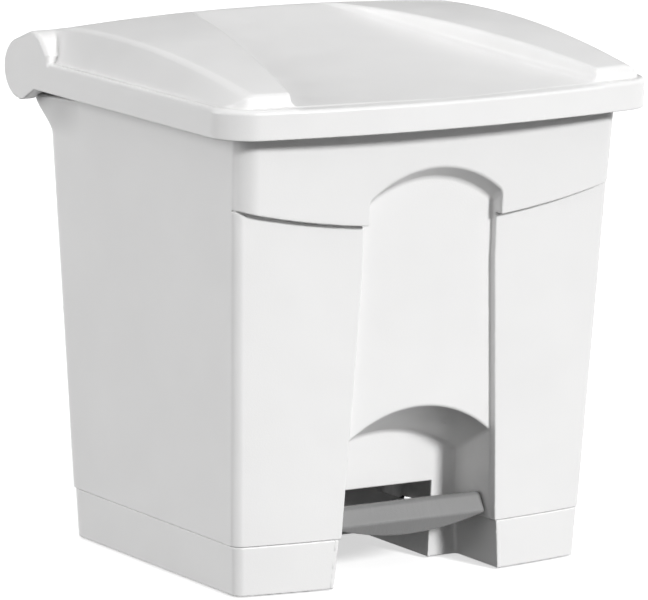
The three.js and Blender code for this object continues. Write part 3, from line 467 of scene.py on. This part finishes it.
def crown(x, y, z, footprint):
    """The raised top, from the shoulders' front faces to the rear slope."""
    crest_z = CREST_Z - CREST_FALL * (y - CREST_Y) ** 2
    back = np.clip((y - CROWN_FRONT_Y) / (ROLL_START_Y - CROWN_FRONT_Y), 0, 1)
    across = np.clip(np.abs(x) / CREST_REAR_X, 0, 1)
    top = (z - crest_z - mix(1.0, CROWN_RISE, back) * (1 - across ** 2)) * CROWN_SCALE
    ahead = np.clip((ROLL_START_Y - y) / (ROLL_START_Y - SHOULDER_FRONT_Y), 0, 1)
    run = FOOT_X - CREST_REAR_X + CREST_NARROWING * ahead
    lift = np.maximum(crest_z - SKIRT_TOP_Z, 4)
    flank = ((np.abs(x) - FOOT_X) * lift + (z - SKIRT_TOP_Z) * run) / np.hypot(lift, run)
    drawn = FRONT_FACE_TAPER * (np.abs(x) - FRONT_FACE_X)
    face = SHOULDER_FRONT_Y + drawn + FRONT_FACE_LEAN * (z - FRONT_FACE_Z) - y
    dome = both(both(both(top, rear_slope(x, y, z), 9.0), flank, 4.0), face, 3.0)
    ledge = mix(LEDGE, REAR_LEDGE, smooth((y - LEDGE_END_Y) / LEDGE_FADE))
    return np.maximum(both(dome, footprint + ledge, 3.0), CROWN_BOTTOM_Z - z)


def centre_panel(x, y, z):
    """The air above the sunken panel, which widens towards the front."""
    back = y - LID_FRONT_Y
    panel_z = PANEL_FRONT_Z + PANEL_SLOPE * back + PANEL_DISH * back ** 2
    wall = np.abs(x) - PANEL_MID_HALF + PANEL_TAPER * y - PANEL_WALL_LEAN * (z - panel_z)
    return both(wall * PANEL_WALL_SCALE, (panel_z - z) * PANEL_SCALE, 5.0)


def lid_mass(x, y, z):
    """The lid's outside, open below."""
    footprint = lid_footprint(x, y, z)
    tray = np.maximum(y - HINGE_Y, z - SKIRT_TOP_Z)
    mass = either(tray, crown(x, y, z, footprint), 1.0)
    mass = either(mass, rolled_edge(x, y, z), WALL_BEND)
    return without(both(mass, footprint, 4.0), centre_panel(x, y, z), 2.5)


def lid(x, y, z):
    """The thin-walled lid, with solid lobes beside the hinge and two bosses for the crank."""
    mass = lid_mass(x, y, z)
    ends = np.maximum(LID_END_X - np.abs(x), LOBE_START_Y - y)
    air = np.maximum(mass + WALL, -ends)
    groove = np.hypot(np.abs(x) - FOOT_X - FOOT_GROOVE_OUT, z - SKIRT_TOP_Z) - FOOT_GROOVE_RADIUS
    groove = np.maximum(groove, between(y, *FOOT_GROOVE_Y))
    shell = without(without(mass, groove, HOLE_EDGE), air, RIB_EDGE)
    shell = both(shell, np.minimum(SKIRT_BOTTOM_Z - z, rolled_edge(x, y, z)), WALL_END)
    below = all_of(np.abs(x) - LID_END_X, LIP_START_Y - y, z - LIP_Z)
    shell = without(shell, below, WALL_END)
    for side in (-1, 1):
        place = (CRANK_BOSS_X * side, ROD_Y)
        boss = np.maximum(pillar(x, y, place, CRANK_BOSS_RADIUS), between(z, *CRANK_BOSS_Z))
        hole = np.maximum(pillar(x, y, place, SCREW_RADIUS), z - CRANK_HOLE_END_Z)
        shell = without(either(shell, boss, WALL_END), hole, 0.2)
    pin_hole = crossbar(y, z, HINGE_Y, HINGE_Z, PIN_HOLE_RADIUS)
    return without(shell, np.maximum(pin_hole, np.abs(x) - PIN_HOLE_END_X), HOLE_EDGE)


# ------------------------------------------------------------------ pedal and liner fields


def pedal_tread(x, y, z):
    """A sloping tread with a steep front face and a crescent lip that curls back underneath."""
    drop = LIP_DEPTH * np.maximum(1 - (x / TREAD_HALF) ** 2, 0)
    slant = math.hypot(1, TREAD_SLOPE)
    top = (z - TREAD_FRONT_Z + TREAD_SLOPE * (y - TREAD_FRONT_Y)) / slant
    front = facing(y, z, TREAD_FACE, TREAD_FACE_FACING)
    curl = facing(y, z, TREAD_CURL, TREAD_CURL_FACING)
    outside = both(both(top, front, 4.0), curl, 1.2)
    shell = without(outside, outside + TREAD_THICKNESS - TREAD_THINNING, 0.4)
    shell = both(shell, LIP_BOTTOM_Z - drop - z, WALL_END)
    shell = both(shell, y - TREAD_REAR_Y, RIB_EDGE)
    shell = both(shell, np.abs(x) - TREAD_HALF, WALL_END)
    # Two screw bosses square to the tread. They come out 1.9 mm ahead of the screws.
    depth = -top
    rise = z - TREAD_FRONT_Z - TREAD_SLOPE * (TREAD_BOSS_Y - TREAD_FRONT_Y)
    along = (y - TREAD_BOSS_Y) / slant - TREAD_SLOPE * rise / slant
    for side in (-1, 1):
        away = np.hypot(x - TREAD_BOSS_X * side, along)
        boss = np.maximum(away - TREAD_BOSS_RADIUS, between(depth, *TREAD_BOSS_DEPTH))
        hole = np.maximum(away - TREAD_HOLE_RADIUS, TREAD_HOLE_DEPTH - depth)
        shell = without(either(shell, boss, 0.6), hole, 0.2)
    return shell


def inner_liner(x, y, z):
    """A tapered bucket with a flat flange round its mouth."""
    up = (z - DECK_Z) / (RIM_Z - DECK_Z)
    front, rear = LINER_FRONT_Y - LINER_FRONT_GAIN * up, LINER_REAR_Y + LINER_REAR_GAIN * up
    across = np.abs(x) - LINER_HALF - LINER_HALF_GAIN * up
    along = np.abs(y - (front + rear) / 2) - (rear - front) / 2
    walls = both(across, along, LINER_CORNER)
    tub = both(walls, LINER_BOTTOM_Z - z, 8.0)
    hollow = both(walls + LINER_WALL, LINER_BOTTOM_Z + LINER_WALL - z, 6.0)
    flange = np.maximum(walls - LINER_FLANGE, LINER_TOP_Z - LINER_WALL - z)
    outside = both(either(tub, flange, 2.0), z - LINER_TOP_Z, WALL_END)
    return without(outside, hollow, WALL_END)


# ------------------------------------------------------------------ from fields to meshes

WORKERS = ThreadPoolExecutor(THREADS)
CORNERS = [(i, j, k) for i in (0, 1) for j in (0, 1) for k in (0, 1)]  # of a grid cell
EDGES = [(a, b) for a in CORNERS for b in CORNERS if a < b and sum(np.subtract(b, a) != 0) == 1]


def ticks(*spans):
    """Grid lines over (start, end, step) spans that follow each other."""
    lines = [np.array([spans[0][0]])]
    for start, end, step in spans:
        count = max(1, math.ceil((end - start) / step - 1e-9))
        lines.append(np.linspace(start, end, count + 1)[1:])
    return np.concatenate(lines).astype(float)


def mirrored(*spans):
    """Grid lines on both sides of X = 0, from spans on its right side."""
    right = ticks(*spans)
    return np.concatenate([-right[:0:-1], right])


def sampled(field, points):
    """The field's values at scattered points, with a part of them on each thread."""
    parts = np.array_split(points, THREADS)
    return np.concatenate(list(WORKERS.map(lambda part: field(*part.T), parts)))


def on_grid(field, xs, ys, zs):
    """The field's values on a grid, with a few slices on each thread."""
    def slice_of(lines):
        grid = np.meshgrid(lines, ys, zs, indexing="ij", sparse=True)
        return np.broadcast_to(field(*grid), (len(lines), len(ys), len(zs)))
    return np.concatenate(list(WORKERS.map(slice_of, np.array_split(xs, GRID_SLICES))))


def quads_across(inside, number, axis):
    """Quads on the grid edges along one axis whose two ends lie on different sides."""
    first, second = (axis + 1) % 3, (axis + 2) % 3
    low = inside.take(np.arange(inside.shape[axis] - 1), axis)
    high = inside.take(np.arange(1, inside.shape[axis]), axis)
    found = []
    for here, order in ((low & ~high, 1), (~low & high, -1)):
        at = np.argwhere(here)
        around = []
        for back_first, back_second in ((1, 1), (0, 1), (0, 0), (1, 0))[::order]:
            cell = at.copy()
            cell[:, first] -= back_first
            cell[:, second] -= back_second
            around.append(number[tuple(cell.T)])
        found.append(np.stack(around, 1))
    return np.concatenate(found)


def surface_net(field, xs, ys, zs):
    """Points and quads of a field's zero surface on a grid whose lines may be unevenly spaced.

    The grid reaches past the piece on every side.
    """
    values = on_grid(field, xs, ys, zs)
    inside = values < 0
    nx, ny, nz = (size - 1 for size in inside.shape)
    filled = sum(inside[i:i + nx, j:j + ny, k:k + nz].astype(np.uint8) for i, j, k in CORNERS)
    active = (filled > 0) & (filled < 8)
    cells = np.argwhere(active)
    number = np.full(active.shape, -1, np.int64)
    number[active] = np.arange(len(cells))

    total = np.zeros((len(cells), 3))
    crossings = np.zeros(len(cells))
    for a, b in EDGES:
        at_a, at_b = (cells + a).T, (cells + b).T
        value_a, value_b = values[tuple(at_a)], values[tuple(at_b)]
        crosses = (value_a < 0) != (value_b < 0)
        t = np.where(crosses, value_a / np.where(crosses, value_a - value_b, 1), 0)
        for axis, lines in enumerate((xs, ys, zs)):
            start, end = lines[at_a[axis]], lines[at_b[axis]]
            total[:, axis] += np.where(crosses, start + t * (end - start), 0)
        crossings += crosses
    quads = np.concatenate([quads_across(inside, number, axis) for axis in range(3)])
    return total / crossings[:, None], quads


def value_and_slope(field, points, reach=PROBE):
    """The field's value at each point, and how it changes along X, Y and Z."""
    value = sampled(field, points)
    ahead = [sampled(field, points + np.eye(3)[axis] * reach) for axis in range(3)]
    return value, np.stack([(near - value) / reach for near in ahead], 1)


def settle(field, points, rounds=1):
    """Moves points onto the field's zero surface."""
    for _ in range(rounds):
        value, slope = value_and_slope(field, points)
        steepness = np.maximum((slope ** 2).sum(1), 0.1)
        step = slope * (value / steepness)[:, None]
        points = points - np.clip(step, -LONGEST_STEP, LONGEST_STEP)
    return points


def even_out(points, quads, share=EVEN_SHARE):
    """Moves each point towards the middle of its neighbours."""
    starts = quads.ravel()
    ends = np.roll(quads, -1, axis=1).ravel()
    here, there = np.concatenate([starts, ends]), np.concatenate([ends, starts])
    sums = [np.bincount(here, points[there, axis], len(points)) for axis in range(3)]
    middle = np.stack(sums, 1) / np.bincount(here, minlength=len(points))[:, None]
    return mix(points, middle, share)


def mesh_from(name, points, quads):
    """A Blender mesh of quads."""
    mesh = bpy.data.meshes.new(name)
    mesh.vertices.add(len(points))
    mesh.vertices.foreach_set("co", points.ravel())
    mesh.loops.add(quads.size)
    mesh.loops.foreach_set("vertex_index", quads.ravel().astype(np.int32))
    mesh.polygons.add(len(quads))
    mesh.polygons.foreach_set("loop_start", np.arange(0, quads.size, 4, dtype=np.int32))
    mesh.update(calc_edges=True)
    return mesh


def thinned(mesh, share):
    """The mesh with fewer faces, above all where it is flat."""
    helper = bpy.data.objects.new("helper", mesh)
    bpy.context.scene.collection.objects.link(helper)
    decimate = helper.modifiers.new("thin", "DECIMATE")
    decimate.ratio = share
    graph = bpy.context.evaluated_depsgraph_get()
    result = bpy.data.meshes.new_from_object(helper.evaluated_get(graph))
    bpy.data.objects.remove(helper)
    bpy.data.meshes.remove(mesh)
    return result


def edge_sharpness(field, points, reach=EDGE_PROBE):
    """How sharply the surface turns at each point: above 0 on outer edges, below 0 in corners."""
    steps = [np.eye(3)[axis] * way for axis in range(3) for way in (reach, -reach)]
    around = [sampled(field, points + step) for step in steps]
    return (sum(around) - len(steps) * sampled(field, points)) / reach ** 2


def read_out(items, name, width, kind=np.float32):
    """One property of many mesh elements, as rows."""
    values = np.empty(len(items) * width, kind)
    items.foreach_get(name, values)
    return values.reshape(-1, width)


def corner_normals(field, points, mesh):
    """The field's own normals, except where a face meets a sharp edge and keeps its flat one."""
    slope = value_and_slope(field, points)[1]
    slope /= np.maximum(np.linalg.norm(slope, axis=1, keepdims=True), 1e-6)
    exact = slope[read_out(mesh.loops, "vertex_index", 1, np.int32)[:, 0]]
    sides = read_out(mesh.polygons, "loop_total", 1, np.int32)[:, 0]
    flat = np.repeat(read_out(mesh.polygons, "normal", 3), sides, axis=0)
    agrees = (exact * flat).sum(1, keepdims=True) > SHARP_TURN
    return np.where(agrees, exact, flat)


def moulded(node, body, slot, field, xs, ys, zs, share):
    """A moulded piece made from its field, in place of a CAD node.

    Share is the share of its faces that thinning keeps.
    """
    points, quads = surface_net(field, xs, ys, zs)
    points = settle(field, points, SETTLE_ROUNDS)
    for _ in range(EVEN_ROUNDS):
        points = settle(field, even_out(points, quads))
    mesh = thinned(mesh_from(node, points, quads), share)
    points = settle(field, read_out(mesh.vertices, "co", 3).astype(float), SETTLE_ROUNDS)
    mesh.vertices.foreach_set("co", ((points + (0, MID_Y, 0)) / MM).ravel())
    mesh.polygons.foreach_set("use_smooth", np.ones(len(mesh.polygons), bool))
    mesh.update()
    mesh.normals_split_custom_set(corner_normals(field, points, mesh))
    edge = mesh.attributes.new("edge", "FLOAT", "POINT")
    edge.data.foreach_set("value", edge_sharpness(field, points).astype(np.float32))
    mesh.update()
    mesh.name = node + "_surface"
    piece = bpy.data.objects.new(mesh.name, mesh)
    bpy.context.scene.collection.objects.link(piece)
    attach(piece, body)
    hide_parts(node)
    mesh.materials.append(MATERIALS[slot])
    return piece


# ------------------------------------------------------------------ materials

CORNER_DUST_AND_SHADE = (-0.15, -0.6)  # the edge values of a corner with no dust or painted shade, and of the darkest one
RUBBED = (0.25, 0.8)  # the edge values of an unworn edge and of a rubbed one
# How much the corners darken with dust and painted shade, and how dark and warm that tone is.
DUST_AND_SHADE_SHARE, DUST_AND_SHADE_LEVEL, DUST_AND_SHADE_WARMTH = 0.22, 0.6, 0.04
RUB_SHADE, RUB_ROUGHNESS = 1.12, 0.12
SWIRL_SCALE, SWIRL_DEPTH = 22.0, 0.00025  # the slow waves in a moulded wall
NOISE_RANGE = (0.35, 0.65)  # where nearly all values of the noise texture lie
PLASTIC_IOR = 1.49
ALL_ROUND = (1, 1, 1)


def add_node(tree, kind, inputs=(), output=0, **settings):
    """A new shader node; each input is a number, a colour or another node's output."""
    node = tree.nodes.new(kind)
    for name, value in settings.items():
        setattr(node, name, value)
    for name, value in dict(inputs).items():
        if isinstance(value, bpy.types.NodeSocket):
            tree.links.new(value, node.inputs[name])
        else:
            node.inputs[name].default_value = value
    return node.outputs[output]


def new_material(name):
    """A material whose node tree is still empty, and that tree."""
    made = bpy.data.materials.new(name)
    made.use_nodes = True
    made.node_tree.nodes.clear()
    return made, made.node_tree


def finish_material(tree, inputs):
    """The material's one shader and its output."""
    shader = add_node(tree, "ShaderNodeBsdfPrincipled", inputs)
    finish = tree.nodes.new("ShaderNodeOutputMaterial")
    tree.links.new(shader, finish.inputs["Surface"])


def placed(tree, stretch=ALL_ROUND):
    """The point on the piece, in metres, stretched along the axes."""
    place = add_node(tree, "ShaderNodeTexCoord", output="Object")
    return add_node(tree, "ShaderNodeMapping", {"Vector": place, "Scale": stretch})


def ranged(tree, value, start, end, low=0.0, high=1.0):
    """Low where the value is at start or before it, high where it is at end or past it."""
    inputs = {"Value": value, "From Min": start, "From Max": end, "To Min": low, "To Max": high}
    return add_node(tree, "ShaderNodeMapRange", inputs)


def noise(tree, scale, detail=3.0, stretch=ALL_ROUND, low=0.0, high=1.0):
    """Cloudy patches between low and high, with about that many to the metre."""
    inputs = {"Vector": placed(tree, stretch), "Scale": scale, "Detail": detail}
    cloud = add_node(tree, "ShaderNodeTexNoise", inputs)
    return ranged(tree, cloud, *NOISE_RANGE, low, high)


def blended(tree, share, a, b):
    """Colour a where share is 0 and colour b where it is 1.

    The mix node's inputs 6 and 7 and its output 2 are the ones for colours.
    """
    return add_node(tree, "ShaderNodeMix", {0: share, 6: a, 7: b}, 2, data_type="RGBA")


def product(tree, a, b):
    return add_node(tree, "ShaderNodeMath", {0: a, 1: b}, operation="MULTIPLY")


def total(tree, a, b):
    return add_node(tree, "ShaderNodeMath", {0: a, 1: b}, operation="ADD")


def edge_value(tree):
    """The edge sharpness that moulded() stores on its pieces; it is 0 on the others."""
    return add_node(tree, "ShaderNodeAttribute", output="Fac", attribute_name="edge")


def bumped(tree, height, depth, below=None):
    """A surface normal with bumps of that depth in metres."""
    inputs = {"Height": height, "Distance": depth, "Strength": 1.0}
    if below is not None:
        inputs["Normal"] = below
    return add_node(tree, "ShaderNodeBump", inputs)


def grey(level, warmth=0.0):
    """A grey, a little redder than it is blue where it is warm."""
    return (level * (1 + warmth), level, level * (1 - warmth), 1.0)


def plastic(name, level, gloss, grain, depth, wear, warmth=0.0):
    """Moulded plastic: fine grain, a slow drift in tone and gloss, dust and painted shade in corners, rubbed
    edges.

    The gloss is its mean roughness, and the grain's depth is in metres.
    """
    made, tree = new_material(name)
    edge = edge_value(tree)
    drift = noise(tree, 11.0, detail=2.0)
    tone = blended(tree, drift, grey(level * 0.975, warmth), grey(level, warmth))
    # Corners are darkened, partly as dust and partly as painted shade where corners would be shaded.
    dust_and_shade = product(tree, ranged(tree, edge, *CORNER_DUST_AND_SHADE), noise(tree, 60.0, low=0.3))
    dust_and_shade_tone = grey(level * DUST_AND_SHADE_LEVEL, DUST_AND_SHADE_WARMTH)
    tone = blended(tree, product(tree, dust_and_shade, DUST_AND_SHADE_SHARE), tone, dust_and_shade_tone)
    rubbed = product(tree, ranged(tree, edge, *RUBBED), noise(tree, 140.0))
    worn = grey(min(1.0, level * RUB_SHADE))
    tone = blended(tree, product(tree, rubbed, wear), tone, worn)
    rough = noise(tree, 35.0, detail=5.0, low=gloss - 0.04, high=gloss + 0.05)
    rough = total(tree, rough, product(tree, rubbed, RUB_ROUGHNESS))
    swirl = bumped(tree, noise(tree, SWIRL_SCALE, detail=1.0), SWIRL_DEPTH)
    fine = bumped(tree, noise(tree, grain, detail=4.0), depth, below=swirl)
    inputs = {"Base Color": tone, "Roughness": rough, "Normal": fine, "IOR": PLASTIC_IOR}
    finish_material(tree, inputs)
    return made


def worn_plastic(name, level):
    """The tread's plastic: shoe scuffs run from front to rear over the grain."""
    made, tree = new_material(name)
    edge = edge_value(tree)
    streaks = noise(tree, 60.0, detail=6.0, stretch=(9, 1, 1))
    scuffs = product(tree, streaks, noise(tree, 25.0))
    tone = blended(tree, noise(tree, 14.0), grey(level * 0.94), grey(level * 1.03))
    tone = blended(tree, product(tree, scuffs, 0.3), tone, grey(level * 1.3))
    rubbed = product(tree, ranged(tree, edge, 0.2, 0.7), noise(tree, 180.0, detail=5.0))
    tone = blended(tree, product(tree, rubbed, 0.35), tone, grey(level * 1.4))
    rough = ranged(tree, scuffs, 0.0, 1.0, low=0.42, high=0.62)
    scratch = bumped(tree, scuffs, depth=0.00004)
    fine = bumped(tree, noise(tree, 700.0, detail=4.0), depth=0.00006, below=scratch)
    inputs = {"Base Color": tone, "Roughness": rough, "Normal": fine, "IOR": PLASTIC_IOR}
    finish_material(tree, inputs)
    return made


def zinc_steel(name):
    """Zinc-plated steel: fine lines, a mottled passivated tint and a few dull spots."""
    made, tree = new_material(name)
    mottle = noise(tree, 160.0, detail=5.0)
    tone = blended(tree, mottle, (0.60, 0.61, 0.63, 1), (0.70, 0.69, 0.66, 1))
    spots = noise(tree, 420.0, detail=6.0)
    tone = blended(tree, product(tree, spots, 0.25), tone, (0.42, 0.42, 0.43, 1))
    rough = ranged(tree, spots, 0.0, 1.0, low=0.26, high=0.46)
    lines = bumped(tree, noise(tree, 900.0, stretch=(1, 1, 0.06)), depth=0.00002)
    finish_material(tree, {"Base Color": tone, "Roughness": rough, "Normal": lines, "Metallic": 1.0})
    return made


def rubber(name):
    """Matte moulded rubber with a little pale bloom."""
    made, tree = new_material(name)
    bloom = product(tree, noise(tree, 120.0, detail=6.0), noise(tree, 30.0, detail=2.0))
    tone = blended(tree, product(tree, bloom, 0.35), grey(0.028), grey(0.13, 0.03))
    rough = ranged(tree, bloom, 0.0, 1.0, low=0.62, high=0.85)
    fine = bumped(tree, noise(tree, 1300.0), depth=0.00008)
    finish_material(tree, {"Base Color": tone, "Roughness": rough, "Normal": fine})
    return made


MATERIALS = {
    "white_plastic": plastic(
        "white_plastic", 0.88, gloss=0.34, grain=900.0, depth=0.00003, wear=0.5, warmth=0.003,
    ),
    "pedal_plastic": worn_plastic("pedal_plastic", 0.23),
    "liner_plastic": plastic(
        "liner_plastic", 0.62, gloss=0.46, grain=700.0, depth=0.00005, wear=0.4,
    ),
    "grey_plastic": plastic(
        "grey_plastic", 0.15, gloss=0.42, grain=800.0, depth=0.00004, wear=0.3,
    ),
    "steel": zinc_steel("zinc_steel"),
    "rubber": rubber("moulded_rubber"),
}

# ------------------------------------------------------------------ the moulded pieces

# Each grid reaches past its piece. Its lines stand close together where the piece has edges,
# corners or thin walls, and wide apart where it is plain.

moulded(
    "body_shell", "bin", "white_plastic", body_shell,
    mirrored((0, 8, 1.6), (8, 45, 3.1), (45, 90, 1.25), (90, 114, 4), (114, 134, 1.5),
             (134, 158, 1.7), (158, 197, 1.25)),
    ticks((-172, -108, 1.25), (-108, -88, 2), (-88, -62, 1.25), (-62, -42, 1.5),
          (-42, 102, 5), (102, 122, 1.5), (122, 128, 3), (128, 196, 1.25)),
    ticks((40, 48, 1.1), (48, 64, 4), (64, 75, 1), (75, 92, 3), (92, 150, 1.5),
          (150, 294, 5), (294, 350, 1.25), (350, 370.4, 2.5), (370.4, 418.8, 1.1)),
    share=0.27,
)
moulded(
    "base_plinth", "bin", "white_plastic", base_plinth,
    mirrored((0, 45, 6), (45, 90, 1.25), (90, 105, 5), (105, 172, 1.4)),
    ticks((-146, -36, 1.5), (-36, -28, 4), (-28, -6, 1.4), (-6, 96, 6), (96, 158, 1.4)),
    ticks((0, 46, 1.15)),
    share=0.5,
)
moulded(
    "lid", "lid", "white_plastic", lid,
    mirrored((0, 16, 4), (16, 28, 1.3), (28, 60, 4), (60, 152, 1.5), (152, 206, 1.2)),
    ticks((-194, -140, 1.2), (-140, 96, 2.4), (96, 198, 1.4)),
    ticks((366, 446, 1.15)),
    share=0.4,
)
moulded(
    "pedal_tread", "pedal", "pedal_plastic", pedal_tread,
    mirrored((0, 73, 1.5)),
    ticks((-130, -84, 0.8)),
    ticks((32, 68, 0.7)),
    share=0.6,
)
moulded(
    "inner_liner", "bin", "liner_plastic", inner_liner,
    mirrored((0, 120, 6), (120, 176, 1)),
    ticks((-124, -40, 1), (-40, 88, 6), (88, 128, 1)),
    ticks((68, 80, 0.8), (80, 360, 5), (360, 374, 0.6)),
    share=0.6,
)

# ------------------------------------------------------------------ hardware kept from the CAD

STEEP_EDGE = math.radians(32)  # an edge that turns more than this looks sharp
BEVEL_EDGE = math.radians(50)  # and one that turns more than this is bevelled
BEVEL_WIDTH, BEVEL_SEGMENTS = 0.0003, 2


def smooth_shading():
    """A modifier's node group: smooth across gentle turns, sharp across steep ones."""
    group = bpy.data.node_groups.new("smooth_shading", "GeometryNodeTree")
    group.interface.new_socket("Geometry", in_out="INPUT", socket_type="NodeSocketGeometry")
    group.interface.new_socket("Geometry", in_out="OUTPUT", socket_type="NodeSocketGeometry")
    start = group.nodes.new("NodeGroupInput")
    angle = add_node(group, "GeometryNodeInputMeshEdgeAngle")
    limit = {0: angle, 1: STEEP_EDGE}
    steep = add_node(group, "FunctionNodeCompare", limit, operation="GREATER_THAN")
    all_smooth = {"Geometry": start.outputs[0], "Shade Smooth": True}
    shape = add_node(group, "GeometryNodeSetShadeSmooth", all_smooth)
    sharp = {"Geometry": shape, "Selection": steep, "Shade Smooth": False}
    shape = add_node(group, "GeometryNodeSetShadeSmooth", sharp, domain="EDGE")
    end = group.nodes.new("NodeGroupOutput")
    group.links.new(shape, end.inputs[0])
    return group


SMOOTH = smooth_shading()

for part in frame["record"]["subparts"]:
    node = frame["nodes"][part["node"]]
    if node.hide_render:  # a moulded piece stands in its place
        continue
    node.data.materials.clear()
    node.data.materials.append(MATERIALS[part["material_slot"]])
    bevel = node.modifiers.new("bevel", "BEVEL")
    bevel.width = BEVEL_WIDTH
    bevel.segments = BEVEL_SEGMENTS
    bevel.angle_limit = BEVEL_EDGE
    node.modifiers.new("smooth", "NODES").node_group = SMOOTH

# ------------------------------------------------------------------ floor, light and camera

SENSOR_WIDTH = 36.0
CLIP_NEAR, CLIP_FAR = 0.1, 100.0
HORIZON = (-0.3, 0.5)  # the world fades from below to above between these heights


def floor_material():
    """A pale, evenly lit studio floor."""
    made, tree = new_material("studio_floor")
    tone = blended(tree, noise(tree, 3.0, detail=2.0), grey(0.93), grey(0.95))
    inputs = {"Base Color": tone, "Roughness": 0.7}
    inputs.update({"Emission Color": grey(1.0), "Emission Strength": 0.6})
    finish_material(tree, inputs)
    return made


def studio_floor(half_size):
    """A wide square floor. It is bright, so it is kept out of the diffuse light on the bin."""
    mesh = bpy.data.meshes.new("studio_floor")
    corners = [(x * half_size, y * half_size, 0) for x, y in ((-1, -1), (1, -1), (1, 1), (-1, 1))]
    mesh.from_pydata(corners, [], [(0, 1, 2, 3)])
    mesh.materials.append(floor_material())
    floor = bpy.data.objects.new("studio_floor", mesh)
    floor.visible_diffuse = False
    bpy.context.scene.collection.objects.link(floor)


def soft_sun(name, azimuth, elevation, strength, spread):
    """Soft light from that side: azimuth 0 comes from the front and 90 from the right."""
    light = bpy.data.lights.new(name, "SUN")
    light.energy = strength
    light.angle = math.radians(spread)
    lamp = bpy.data.objects.new(name, light)
    across, up = math.radians(azimuth), math.radians(elevation)
    level = math.cos(up)
    towards = Vector((math.sin(across) * level, -math.cos(across) * level, math.sin(up)))
    lamp.rotation_euler = towards.to_track_quat("Z", "Y").to_euler()
    bpy.context.scene.collection.objects.link(lamp)


def studio_world(above, below):
    """Soft light from all round, paler above than below."""
    world = bpy.data.worlds.new("studio")
    world.use_nodes = True
    tree = world.node_tree
    towards = add_node(tree, "ShaderNodeTexCoord", output="Generated")
    up = add_node(tree, "ShaderNodeSeparateXYZ", {"Vector": towards}, 2)
    dark = (below * 0.97, below * 0.98, below, 1.0)
    tone = blended(tree, ranged(tree, up, *HORIZON), dark, grey(above))
    tree.links.new(tone, tree.nodes["Background"].inputs["Color"])
    bpy.context.scene.world = world


def studio_camera(yaw, pitch, roll, distance, lens, aside, above):
    """A camera aimed close to the bin's middle.

    Yaw turns it to the right and pitch down. Aside and above say how far, in metres, the bin's
    middle stands to the right of its line of sight and above it.
    """
    yaw, pitch, roll = (math.radians(angle) for angle in (yaw, pitch, roll))
    cos_pitch = math.cos(pitch)
    ahead = Vector((math.sin(yaw) * cos_pitch, math.cos(yaw) * cos_pitch, -math.sin(pitch)))
    level = Vector((math.cos(yaw), -math.sin(yaw), 0))
    upright = level.cross(ahead)
    right = level * math.cos(roll) + upright * math.sin(roll)
    up = upright * math.cos(roll) - level * math.sin(roll)
    data = bpy.data.cameras.new("studio_camera")
    data.lens = lens
    data.sensor_width = SENSOR_WIDTH
    camera = bpy.data.objects.new("studio_camera", data)
    middle = (CAD_BOX[0] + CAD_BOX[1]) / 2
    place = middle - ahead * distance - right * aside - up * above
    turn = Matrix((right, up, -ahead)).transposed()
    camera.matrix_world = Matrix.Translation(place) @ turn.to_4x4()
    data.clip_start, data.clip_end = CLIP_NEAR, CLIP_FAR
    bpy.context.scene.collection.objects.link(camera)
    bpy.context.scene.camera = camera


studio_floor(half_size=30.0)
soft_sun("key", azimuth=12, elevation=24, strength=2.75, spread=9)
soft_sun("left_fill", azimuth=-120, elevation=10, strength=1.9, spread=40)
soft_sun("right_fill", azimuth=110, elevation=5, strength=0.45, spread=50)
studio_world(above=0.42, below=0.02)
studio_camera(
    yaw=31.6956, pitch=10.5068, roll=0.6851,
    distance=5.338, lens=358.9, aside=0.00587, above=0.00999,
)
bpy.context.scene.view_settings.view_transform = "Standard"
